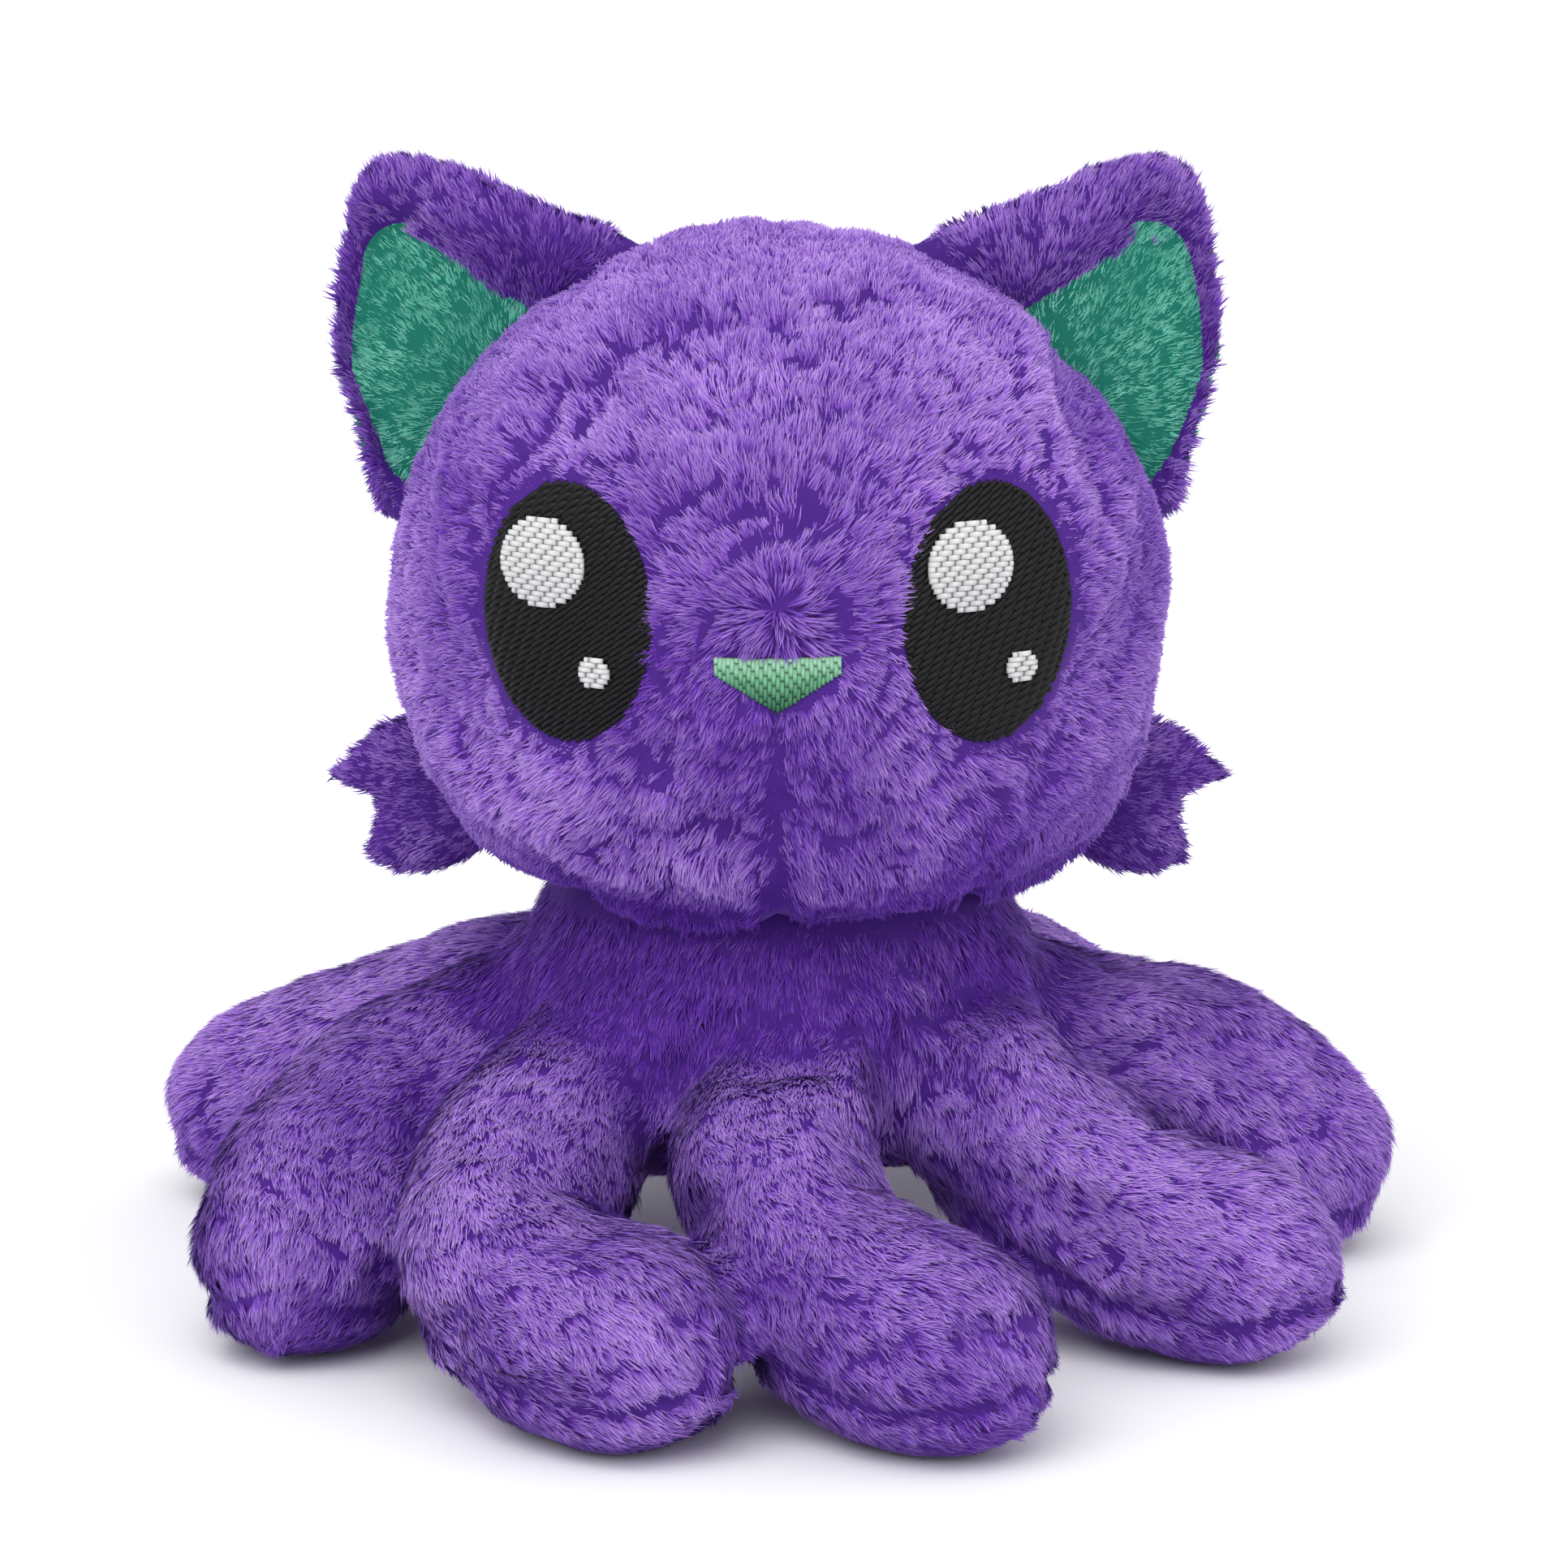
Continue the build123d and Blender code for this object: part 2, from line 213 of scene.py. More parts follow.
def grid_faces(rows, columns, closed=True):
    """Quads between rows of points, each row a ring if closed."""
    faces = []
    for i in range(rows - 1):
        for j in range(columns if closed else columns - 1):
            k = (j + 1) % columns
            faces.append((i * columns + j, i * columns + k, (i + 1) * columns + k, (i + 1) * columns + j))
    return faces


def capped(rings, first, last):
    """Points and faces of a closed form: rings of points, with a single point beyond each end."""
    columns = len(rings[0])
    faces = grid_faces(len(rings), columns)
    points = np.concatenate([*rings, [first], [last]])
    base = (len(rings) - 1) * columns
    for j in range(columns):
        k = (j + 1) % columns
        faces.append((len(points) - 2, k, j))
        faces.append((len(points) - 1, base + j, base + k))
    return points, faces


def lids(rings):
    """Flat faces over the first and last of several rings."""
    n = len(rings[0])
    return [tuple(range(n)), tuple(range((len(rings) - 1) * n, len(rings) * n))[::-1]]


# ---- the head's shape -------------------------------------------------------------------------------
def head_curve(steps):
    """Radius and height of the head's outline from crown to underside, with outward normals."""
    side_centre = HEAD_HALF_WIDTH - HEAD_SIDE_RADIUS
    flatter = HEAD_RISE - HEAD_SIDE_RADIUS
    crown_radius = (side_centre**2 + HEAD_RISE**2 - HEAD_SIDE_RADIUS**2) / (2 * flatter)
    crown_drop = crown_radius - HEAD_RISE
    crown_turn = math.atan2(side_centre, crown_drop)
    cheek_end = math.pi / 2 + math.radians(CHEEK_TURN)
    cheek_centre = HEAD_HALF_WIDTH - CHEEK_RADIUS
    jowl_reach = CHEEK_RADIUS - JOWL_RADIUS
    jowl = (cheek_centre + jowl_reach * math.sin(cheek_end), jowl_reach * math.cos(cheek_end))
    arcs = [
        ((0, -crown_drop), crown_radius, 0, crown_turn),
        ((side_centre, 0), HEAD_SIDE_RADIUS, crown_turn, math.pi / 2),
        ((cheek_centre, 0), CHEEK_RADIUS, math.pi / 2, cheek_end),
        (jowl, JOWL_RADIUS, cheek_end, math.pi),
    ]
    spots = []
    for centre, radius, start, end in arcs:
        for a in np.linspace(start, end, steps, endpoint=False):
            n_r, n_z = math.sin(a), math.cos(a)
            spots.append((centre[0] + radius * n_r, centre[1] + radius * n_z, n_r, n_z))
    bottom = jowl[1] - JOWL_RADIUS
    for r in np.linspace(jowl[0], 0.0, steps):
        spots.append((r, bottom, 0.0, -1.0))
    return np.array(spots)


ARC_STEPS = 60
HEAD_CURVE = head_curve(ARC_STEPS)
HEAD_SIDE_CURVE = HEAD_CURVE[: 4 * ARC_STEPS][::-1]  # from the underside up, so that heights rise


def head_bumps(p):
    """How far the stuffing pushes the head's cover out, or a seam draws it in, in millimetres."""
    x, y, z = p[:, 0], p[:, 1], p[:, 2]
    front = smooth(-y, 15, 45)
    muzzle = 3.0 * np.exp(-(x / 24) ** 2 - ((z - 112) / 17) ** 2) * front
    cheeks = 1.8 * np.exp(-((np.abs(x) - 34) / 17) ** 2 - ((z - 92) / 12) ** 2) * front
    sockets = -1.6 * np.exp(-((np.abs(x) - 31) / 15) ** 2 - ((z - 126) / 21) ** 2) * front
    below_nose = smooth(NOSE_Z - z, 3, 10) * smooth(-y, 0, 20)
    chin_seam = -1.9 * np.exp(-(x / 1.9) ** 2) * below_nose
    chin_roll = -0.7 * np.exp(-(x / 7.0) ** 2) * below_nose * smooth(104 - z, 0, 16)
    dart_line = 33 + (z - 74) * 0.45
    darts = -2.0 * np.exp(-((np.abs(x) - dart_line) / 1.6) ** 2) * smooth(92 - z, 0, 12) * smooth(-y, 0, 12)
    back_seam = -1.2 * np.exp(-(x / 1.6) ** 2) * smooth(y, 0, 10)
    crown_seam = -0.6 * np.exp(-(x / 1.6) ** 2) * smooth(z, 168, 176) * smooth(y, -30, 0)
    side_seam = -1.0 * np.exp(-(y / 1.6) ** 2) * smooth(130 - z, 0, 20)
    lumps = 0.7 * ripple(p, 38, 1) + 0.35 * ripple(p, 17, 2)
    stuffing = muzzle + cheeks + sockets
    return stuffing + chin_seam + chin_roll + darts + back_seam + crown_seam + side_seam + lumps


def outline_normals(x, z):
    """Normals of the face's plain outline at those places."""
    heights = z - HEAD_Z
    r, n_r, n_z = (np.interp(heights, HEAD_SIDE_CURVE[:, 1], HEAD_SIDE_CURVE[:, k]) for k in (0, 2, 3))
    y = -np.sqrt(np.maximum(r**2 - x**2, 1.0))
    return unit(np.stack([x / r * n_r, y / r * n_r, n_z], 1))


def head_skin():
    """The head's backing as a closed grid of rings round the neck's axis, from the crown down."""
    columns = 180
    outline = HEAD_CURVE[::3]
    rows = []
    for r, h, n_r, n_z in outline[1:-1]:
        a = np.linspace(0, 2 * math.pi, columns, endpoint=False)
        p, n = ring_about_axis(r, HEAD_Z + h, a), ring_about_axis(n_r, n_z, a)
        rows.append(p + n * (head_bumps(p) - SKIN_INSET)[:, None])
    crown, underside = HEAD_Z + HEAD_RISE - SKIN_INSET, HEAD_Z + outline[-1][1] + SKIN_INSET
    return capped(rows, [0, 0, crown], [0, 0, underside])


def on_patch(x, z, margin):
    """How far inside an eye or the nose a place on the face is, with that margin; negative outside."""
    eye = 1 - np.hypot((np.abs(x) - EYE_X) / EYE_HALF_WIDTH, (z - EYE_Z) / EYE_HALF_HEIGHT)
    eye_depth = eye * EYE_HALF_WIDTH
    half = NOSE_HALF_WIDTH * np.clip((z - NOSE_Z + NOSE_HEIGHT / 2) / NOSE_HEIGHT, 0, 1)
    nose_depth = np.minimum(half - np.abs(x), NOSE_Z + NOSE_HEIGHT / 2 - z)
    return np.maximum(eye_depth, nose_depth) + margin


# ---- the body's shape -------------------------------------------------------------------------------
class Arm:
    """One arm's middle line, from its root round the knee to its tip, and what lies round it."""

    def __init__(self, i):
        joint = next(j for j in frame["joints"] if j["name"] == f"arm_{i + 1}_lift")
        self.name = f"arm_{i + 1}"
        self.root = to_layout(np.array(joint["pos_m"]))
        knee, tip = ARM_BENDS[i]
        knee = np.array(knee, float)
        self.tip = np.array([*tip, ARM_TIP_Z], float)
        first, last = self.root - knee, self.tip - knee
        first_run, last_run = np.linalg.norm(first), np.linalg.norm(last)
        turn = math.pi - math.acos(float(first @ last) / first_run / last_run)
        reach = min(first_run - ARM_ROOT_RUN, last_run - 2)
        radius = reach / math.tan(turn / 2)
        start, end = knee + first / first_run * reach, knee + last / last_run * reach
        inward = unit(first / first_run + last / last_run)
        centre = knee + inward * radius / math.cos(turn / 2)
        spoke = (start - centre) / radius
        sweep = (end - centre) / radius
        sweep = unit(sweep - spoke * (spoke @ sweep))
        angles = np.linspace(0, turn, 40)
        arc = [centre + radius * (spoke * math.cos(t) + sweep * math.sin(t)) for t in angles]
        straight = [self.root + (start - self.root) * t for t in np.linspace(0, 1, 8, endpoint=False)]
        final = [end + (self.tip - end) * t for t in np.linspace(0, 1, 8)[1:]]
        self.line = np.array(straight + arc + final)
        self.inner = inward
        self.reach = np.concatenate([[0], np.cumsum(np.linalg.norm(np.diff(self.line, axis=0), axis=1))])
        self.length = self.reach[-1]
        self.bend = turn
        self.knee_at = self.reach[len(straight) + len(arc) // 2]
        share = np.clip(self.reach / self.length, 0, 1)
        r_root, r_mid, r_tip = ARM_RADII
        self.radius = np.interp(share, [0, 0.18, 0.6, 1], [r_root, r_mid, r_mid + 0.3, r_tip])

    def along(self, p):
        """For points: distance along the arm, vector from its middle line, and direction and radius there."""
        gap = ((p[:, None, :] - self.line[None, ::2, :]) ** 2).sum(-1)
        nearest = gap.argmin(1) * 2
        nearest = np.minimum(nearest, len(self.line) - 1)
        direction = unit(np.gradient(self.line, axis=0))
        t = direction[nearest]
        out = p - self.line[nearest]
        return self.reach[nearest] + (out * t).sum(1), out, t, self.radius[nearest]

    def seam_gap(self, out, direction, radius):
        """For what along() gives: the distance round the arm from its side seams."""
        side = unit(np.cross(direction, [0, 0, 1]))
        level = np.degrees(np.arctan2(out[:, 2], np.abs((out * side).sum(1))))
        return np.abs(level + ARM_SEAM_DROP) / DEGREES * radius


ARMS = [Arm(i) for i in range(len(ARM_BENDS))]


def tube(arm, columns=36):
    """Closed tube round an arm's middle line, with round ends."""
    direction = unit(np.gradient(arm.line, axis=0))
    rings = []
    stations = [(arm.line[0], direction[0], arm.radius[0], a) for a in np.radians([-80, -60, -40, -20])]
    stations += [(p, d, r, 0.0) for p, d, r in zip(arm.line[::2], direction[::2], arm.radius[::2])]
    stations += [(arm.line[-1], direction[-1], arm.radius[-1], a) for a in np.radians([0, 20, 40, 60, 80])]
    for p, d, r, a in stations:
        side = unit(np.cross(d, [0, 0, 1]))
        up = np.cross(side, d)
        turn = np.linspace(0, 2 * math.pi, columns, endpoint=False)
        r = r + ARM_PLUMP
        ring = np.outer(np.cos(turn), side) + np.outer(np.sin(turn), up)
        rings.append(p + d * r * math.sin(a) + ring * r * math.cos(a))
    return capped(rings, rings[0].mean(0), rings[-1].mean(0))


# The body between the arms, as radius and height from its flat base up into the head's underside.
TORSO_CURVE = [
    (0, 24.5), (20, 24.5), (34, 26), (42, 32), (45.5, 42), (46.5, 52),
    (45.5, 60), (43.5, 66), (40.5, 71), (37, 79), (0, 80),
]


def torso_form(columns=72):
    """The body without its arms, as rings round the neck's axis from its base up."""
    turn = np.linspace(0, 2 * math.pi, columns, endpoint=False)
    rings = [ring_about_axis(r, z, turn) for r, z in TORSO_CURVE[1:-1]]
    return capped(rings, [0, 0, TORSO_CURVE[0][1]], [0, 0, TORSO_CURVE[-1][1]])


def remesh(name, points, faces, size):
    """Voxel remesh of overlapping closed forms into one skin of even quads."""
    obj = make_object(name, points, faces, None)
    modifier = obj.modifiers.new("Remesh", "REMESH")
    modifier.mode = "VOXEL"
    modifier.voxel_size = size * MM
    depsgraph = bpy.context.evaluated_depsgraph_get()
    mesh = bpy.data.meshes.new_from_object(obj.evaluated_get(depsgraph))
    obj.modifiers.clear()
    obj.data = mesh
    return obj


def neighbours(mesh):
    """Edge index pairs of a mesh."""
    edges = np.empty(len(mesh.edges) * 2, np.int64)
    mesh.edges.foreach_get("vertices", edges)
    return edges.reshape(-1, 2)


def relax(points, edges, weight, rounds):
    """Moves each point towards the mean of its neighbours, by its weight."""
    count = np.zeros(len(points))
    np.add.at(count, edges[:, 0], 1)
    np.add.at(count, edges[:, 1], 1)
    for _ in range(rounds):
        total = np.zeros_like(points)
        np.add.at(total, edges[:, 0], points[edges[:, 1]])
        np.add.at(total, edges[:, 1], points[edges[:, 0]])
        points = points + (total / count[:, None] - points) * weight[:, None]
    return points


def write_points(mesh, points):
    mesh.vertices.foreach_set("co", to_frame(points).ravel())
    mesh.update()


def puff(obj, held, cap):
    """Cloth simulation under inner pressure: the cover swells, by cap at most, between what holds it."""
    last_step = 20
    before, _, _ = read_mesh(obj)
    group = obj.vertex_groups.new(name="held")
    for index in np.nonzero(held > 0.02)[0]:
        group.add([int(index)], float(held[index]), "REPLACE")
    cloth = obj.modifiers.new("Cloth", "CLOTH")
    settings = cloth.settings
    settings.vertex_group_mass = "held"
    settings.use_pressure = True
    settings.uniform_pressure_force = 4.0
    settings.tension_stiffness = 12
    settings.compression_stiffness = 12
    settings.shrink_min = -0.06
    settings.effector_weights.gravity = 0
    cloth.collision_settings.use_collision = False
    cloth.point_cache.frame_start, cloth.point_cache.frame_end = 1, last_step
    for step in range(1, last_step + 1):
        bpy.context.scene.frame_set(step)
    after, _, _ = read_mesh(obj)
    obj.modifiers.remove(cloth)
    bpy.context.scene.frame_set(1)
    move = after - before
    far = np.linalg.norm(move, axis=1, keepdims=True)
    move *= np.minimum(1, cap / np.maximum(far, 1e-6))
    return before + move


def body_skin():
    """Body and arms as one skin, smoothed where the arms leave the body."""
    points, faces = torso_form()
    for arm in ARMS:
        more, quads = tube(arm)
        faces = faces + [tuple(i + len(points) for i in q) for q in quads]
        points = np.concatenate([points, more])
    obj = remesh("body_form", points, faces, 2.0)
    p, _, _ = read_mesh(obj)
    edges = neighbours(obj.data)
    from_axis = np.hypot(p[:, 0], p[:, 1])
    p = relax(p, edges, 0.5 * (1 - smooth(from_axis, 56, 74)), 26)
    p = relax(p, edges, np.full(len(p), 0.35), 4)
    write_points(obj.data, p)
    return obj, p


def arm_of(p):
    """The number of the arm that each point belongs to, or -1 for the body's own middle."""
    gaps = []
    for arm in ARMS:
        _, out, _, radius = arm.along(p)
        gaps.append(np.linalg.norm(out, axis=1) - radius)
    gaps = np.array(gaps)
    owner = gaps.argmin(0)
    gap = gaps.min(0)
    r = np.hypot(p[:, 0], p[:, 1])
    middle = ((p[:, 2] > 58) & (r < 47)) | (r < 34) | ((gap > 6.5) & (r < 44))
    return np.where(middle, -1, owner)


# ---- materials --------------------------------------------------------------------------------------
def material(name, roughness, sheen=0.0, specular=0.3):
    mat = bpy.data.materials.new(name)
    mat.use_nodes = True
    shader = mat.node_tree.nodes["Principled BSDF"]
    shader.inputs["Roughness"].default_value = roughness
    shader.inputs["Specular IOR Level"].default_value = specular
    shader.inputs["Sheen Weight"].default_value = sheen
    shader.inputs["Sheen Roughness"].default_value = 0.35
    return mat, mat.node_tree.nodes, mat.node_tree.links, shader


def linear(colour):
    """An sRGB colour from 0 to 255 as Blender's linear one."""
    c = np.array(colour, float) / 255
    c = np.where(c <= 0.04045, c / 12.92, ((c + 0.055) / 1.055) ** 2.4)
    return (*c, 1.0)


def ramp(nodes, stops):
    node = nodes.new("ShaderNodeValToRGB")
    band = node.color_ramp
    while len(band.elements) > 1:
        band.elements.remove(band.elements[0])
    band.elements[0].position, band.elements[0].color = stops[0][0], linear(stops[0][1])
    for position, colour in stops[1:]:
        band.elements.new(position).color = linear(colour)
    return node


def place_on_map(nodes, links):
    """The u and v of a piece's own map, which its fibres or stitches are laid out on."""
    place = nodes.new("ShaderNodeUVMap")
    place.uv_map = "OFBake"
    split = nodes.new("ShaderNodeSeparateXYZ")
    links.new(place.outputs["UV"], split.inputs[0])
    return split.outputs["X"], split.outputs["Y"]


def mixed(nodes, links, first, second, kind="MIX"):
    """A node that mixes two colours."""
    mix = nodes.new("ShaderNodeMix")
    mix.data_type = "RGBA"
    mix.blend_type = kind
    links.new(first, mix.inputs[6])
    links.new(second, mix.inputs[7])
    return mix


def pile_material(name, dark, light, sheen_colour):
    """Plush: along v from a fibre's root to its tip, darker at the root as painted shade deep in the pile and
    lighter at the tip as painted sheen, and across u from the deep shades to the bright.
    """
    mat, nodes, links, shader = material(name, 0.7, 0.45, 0.15)
    shader.inputs["Sheen Tint"].default_value = linear(sheen_colour)
    u, v = place_on_map(nodes, links)
    deep, bright = ramp(nodes, dark), ramp(nodes, light)
    links.new(v, deep.inputs[0])
    links.new(v, bright.inputs[0])
    mix = mixed(nodes, links, deep.outputs[0], bright.outputs[0])
    links.new(u, mix.inputs["Factor"])
    links.new(mix.outputs[2], shader.inputs["Base Color"])
    return mat


def thread_material(name, stops, roughness):
    """Embroidery: u runs down the patch from its top, and v along each stitch, darker at its ends as painted
    shade where it dips into the cloth.
    """
    mat, nodes, links, shader = material(name, roughness, 0.0, 0.25)
    u, v = place_on_map(nodes, links)
    # The stops run from the patch's top down, lighter at the top as painted light from above and darker below
    # as painted shade.
    base = ramp(nodes, stops)
    links.new(u, base.inputs[0])
    # Stitch ends are darkened: painted shade where the thread dips.
    painted_shade_along_stitch = [(0.0, 96), (0.14, 226), (0.5, 255), (0.86, 226), (1.0, 96)]
    painted_dip_shade = ramp(nodes, [(spot, (grey, grey, grey)) for spot, grey in painted_shade_along_stitch])
    links.new(v, painted_dip_shade.inputs[0])
    mix = mixed(nodes, links, base.outputs[0], painted_dip_shade.outputs[0], "MULTIPLY")
    mix.inputs["Factor"].default_value = 1.0
    links.new(mix.outputs[2], shader.inputs["Base Color"])
    return mat


# Root stops are darker, as painted shade deep in the pile; tip stops are lighter, as painted sheen.
PLUSH = pile_material(
    "plush",
    [(0.0, (50, 14, 104)), (0.45, (80, 30, 146)), (0.75, (98, 46, 166)), (1.0, (114, 60, 182))],
    [(0.0, (86, 42, 148)), (0.45, (140, 90, 200)), (0.75, (182, 142, 224)), (1.0, (214, 186, 240))],
    (188, 146, 240),
)
EAR_PLUSH = pile_material(
    "ear_plush",
    [(0.0, (6, 90, 76)), (0.4, (14, 122, 104)), (1.0, (32, 150, 128))],
    [(0.0, (26, 130, 110)), (0.4, (88, 196, 170)), (1.0, (164, 238, 214))],
    (190, 246, 222),
)
# Each thread is lighter at the top of its patch and darker below: painted light and shade.
EYE_THREAD = thread_material("eye_thread", [(0.0, (14, 13, 17)), (1.0, (10, 9, 13))], 0.5)
GLEAM_THREAD = thread_material("gleam_thread", [(0.0, (222, 222, 222)), (1.0, (206, 206, 209))], 0.55)
NOSE_THREAD = thread_material(
    "nose_thread", [(0.0, (158, 206, 176)), (0.4, (108, 172, 134)), (1.0, (40, 104, 70))], 0.5
)


def cloth_material(name, colour):
    """Bare knitted backing, for the neck inside the covers."""
    mat, nodes, links, shader = material(name, 0.9, 0.2)
    weave = nodes.new("ShaderNodeTexWave")
    weave.inputs["Scale"].default_value = 900
    weave.inputs["Distortion"].default_value = 2
    shade = ramp(nodes, [(0.0, [c * 0.7 for c in colour]), (1.0, colour)])
    where = nodes.new("ShaderNodeTexCoord")
    links.new(where.outputs["Object"], weave.inputs["Vector"])
    links.new(weave.outputs["Fac"], shade.inputs[0])
    links.new(shade.outputs[0], shader.inputs["Base Color"])
    return mat


# ---- pile -------------------------------------------------------------------------------------------
def sample(points, triangles, per_mm2, rng):
    """Random places on a mesh, so many to its area: positions, triangle numbers and their weights."""
    a, b, c = (points[triangles[:, k]] for k in range(3))
    area = np.linalg.norm(np.cross(b - a, c - a), axis=1) / 2
    count = int(area.sum() * per_mm2)
    pick = np.searchsorted(np.cumsum(area), rng.random(count) * area.sum())
    pick = np.minimum(pick, len(triangles) - 1)
    u, v = rng.random(count), rng.random(count)
    over = u + v > 1
    u[over], v[over] = 1 - u[over], 1 - v[over]
    weights = np.stack([1 - u - v, u, v], 1)
    return (points[triangles[pick]] * weights[:, :, None]).sum(1), pick, weights


def grow(points, triangles, normals, flow, length, shade, rng):
    """Pile on a cover. flow gives the way that it lies, and it stands up where flow is weak; length gives its
    length, and shade 0 for the deep tint and 1 for the bright one. Returns vertices, normals, triangles
    and u, v."""
    root, pick, weights = sample(points, triangles, CLUMPS_PER_MM2, rng)
    n = unit((normals[triangles[pick]] * weights[:, :, None]).sum(1))
    size = length(root)
    keep = size > BARE_BELOW
    root, n, size = root[keep], n[keep], size[keep]
    f = across(flow(root, n), n)
    stand = 38 * np.clip(1 - np.linalg.norm(f, axis=1) / 0.7, 0, 1)
    f = unit(f)
    side = np.cross(n, f)
    swing = 0.22 * ripple(root, 11, 11) + rng.normal(0, 0.16, len(root))
    f = unit(turned(f, side, swing))
    lean = np.radians(PILE_LEAN + stand + 3 * ripple(root, 14, 12) + rng.normal(0, 3, len(root)))
    size = size * np.clip(1 + rng.normal(0, 0.10, len(root)), 0.6, 1.3)
    tint = np.clip(shade(root, n) + 0.14 * ripple(root, 18, 13) + rng.normal(0, 0.09, len(root)), 0, 1)
    meet = root + turned(f, n, lean) * size[:, None]
    clumps = (root, n, f, size, tint, meet, lean)
    root, n, f, size, tint, meet, lean = (np.repeat(a, FIBRES_PER_CLUMP, axis=0) for a in clumps)
    side = np.cross(n, f)
    around, off = rng.random(len(root)) * 2 * math.pi, np.sqrt(rng.random(len(root))) * CLUMP_RADIUS
    base = root + turned(f, side, around) * off[:, None] - n * ROOT_DEPTH
    size = size * (1 + rng.normal(0, 0.10, len(root)))
    rise = np.clip(lean * 1.05 + rng.normal(0, 0.05, len(root)), 0.12, 1.1)
    stray = rng.normal(0, 0.17, len(root))
    way = unit(f + side * stray[:, None])
    bend = base + turned(way, n, rise) * (size * 0.5)[:, None]
    fall = np.clip(lean * 0.4 + rng.normal(0, 0.06, len(root)), -0.05, 0.7)
    tip = bend + turned(way, n, fall) * (size * 0.55)[:, None]
    tip = tip + (meet - tip) * rng.uniform(0.1, 0.4, len(root))[:, None]
    twist = rng.normal(0, 0.15, len(root))
    flat = unit(turned(side, n, twist))
    width = PILE_WIDTH * rng.uniform(0.75, 1.3, len(root))[:, None] * np.clip(size / 3, 0.6, 1.15)[:, None]
    low_half, high_half = flat * width * 0.5, flat * width * 0.46
    ring = [base - low_half, base + low_half, bend - high_half, bend + high_half, tip]
    count = len(root)
    verts = np.stack(ring, 1).reshape(-1, 3)
    low, high = unit(bend - base), unit(tip - bend)
    middle = unit(low + high)
    lit = []
    for d, s in ((low, -1), (low, 1), (middle, -1), (middle, 1), (high, 0)):
        lit.append(unit(unit(across(n, d)) * 0.7 + n * 0.6 + flat * (s * 0.4)))
    lit = np.stack(lit, 1).reshape(-1, 3)
    start = np.arange(count)[:, None] * len(ring)
    faces = np.concatenate([start + [0, 3, 1], start + [0, 2, 3], start + [2, 4, 3]])
    column = np.floor(np.clip(tint + rng.normal(0, 0.13, count), 0, 0.999) * TINTS)
    u_low, u_high = (column + 0.15) / TINTS, (column + 0.85) / TINTS
    u = np.stack([u_low, u_high, u_low, u_high, (u_low + u_high) / 2], 1).reshape(-1)
    # v runs from root to tip: the material paints shade at the root and sheen at the tip.
    v = np.tile([0.05, 0.05, 0.5, 0.5, 0.98], count)
    return verts, lit, faces, np.stack([u, v], 1)


def furry(name, points, triangles, normals, fur, mat):
    """One piece: a cover's backing, in the darkest root colour of its fibres as painted shade between them,
    with its pile, as a single mesh.
    """
    verts, lit, faces, uv = fur
    # The backing sits at the dark root end of the ramps: painted shade in the gaps of the pile.
    painted_root_shade_uv = np.stack([0.3 + (points[:, 0] % 1) * 0.1, 0.02 + (points[:, 2] % 1) * 0.02], 1)
    verts = np.concatenate([points, verts])
    lit = np.concatenate([normals, lit])
    uv = np.concatenate([painted_root_shade_uv, uv])
    faces = np.concatenate([triangles, faces + len(points)]).astype(np.int32)
    mesh = bpy.data.meshes.new(name)
    mesh.vertices.add(len(verts))
    mesh.vertices.foreach_set("co", to_frame(verts).astype(np.float32).ravel())
    mesh.loops.add(faces.size)
    mesh.loops.foreach_set("vertex_index", faces.ravel())
    mesh.polygons.add(len(faces))
    mesh.polygons.foreach_set("loop_start", np.arange(len(faces), dtype=np.int32) * 3)
    mesh.update(calc_edges=True)
    layer = mesh.uv_layers.new(name="OFBake")
    layer.data.foreach_set("uv", uv[faces.ravel()].astype(np.float32).ravel())
    soft = mesh.attributes.new("custom_normal", "FLOAT_VECTOR", "POINT")
    soft.data.foreach_set("vector", lit.astype(np.float32).ravel())
    mesh.materials.append(mat)
    obj = bpy.data.objects.new(name, mesh)
    bpy.context.scene.collection.objects.link(obj)
    return obj


def soft_piece(piece, body, nodes):
    """Body, replaced nodes and stuffing of a padded piece that stays on one body."""
    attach(piece, body)
    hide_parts(*nodes)


def part_of(points, triangles, normals, mask):
    """The faces under a mask, as a mesh of its own."""
    chosen = triangles[mask]
    used, where = np.unique(chosen, return_inverse=True)
    return points[used], where.reshape(-1, 3), normals[used]


# ---- the body and arms ------------------------------------------------------------------------------
body, p = body_skin()
held = np.zeros(len(p))
seam_depth = np.zeros(len(p))
for arm in ARMS:
    at, out, direction, radius = arm.along(p)
    near = smooth(9 - np.abs(np.linalg.norm(out, axis=1) - radius), 0, 4)
    seam = np.exp(-(arm.seam_gap(out, direction, radius) / 1.9) ** 2) * near * smooth(at, 6, 22)
    held = np.maximum(held, seam * 0.9)
    seam_depth = np.maximum(seam_depth, 2.0 * seam)
    inner = smooth(unit(out) @ arm.inner, 0.25, 0.95) * near
    fold = np.exp(-((at - arm.knee_at) / 2.6) ** 2) * inner * smooth(arm.bend, 0.35, 0.9)
    second = np.exp(-((at - arm.knee_at - 9) / 2.2) ** 2) * inner * smooth(arm.bend, 0.7, 1.3) * 0.6
    seam_depth = np.maximum(seam_depth, 3.4 * fold + 2.4 * second)
held = np.maximum(held, smooth(p[:, 2], 64, 70))
held = np.maximum(held, smooth(10 - p[:, 2], 0, 5))
p = puff(body, held, 1.6)
write_points(body.data, p)
p, _, normals = read_mesh(body)
edges = neighbours(body.data)
lumps = 0.55 * ripple(p, 30, 3) + 0.3 * ripple(p, 13, 4)
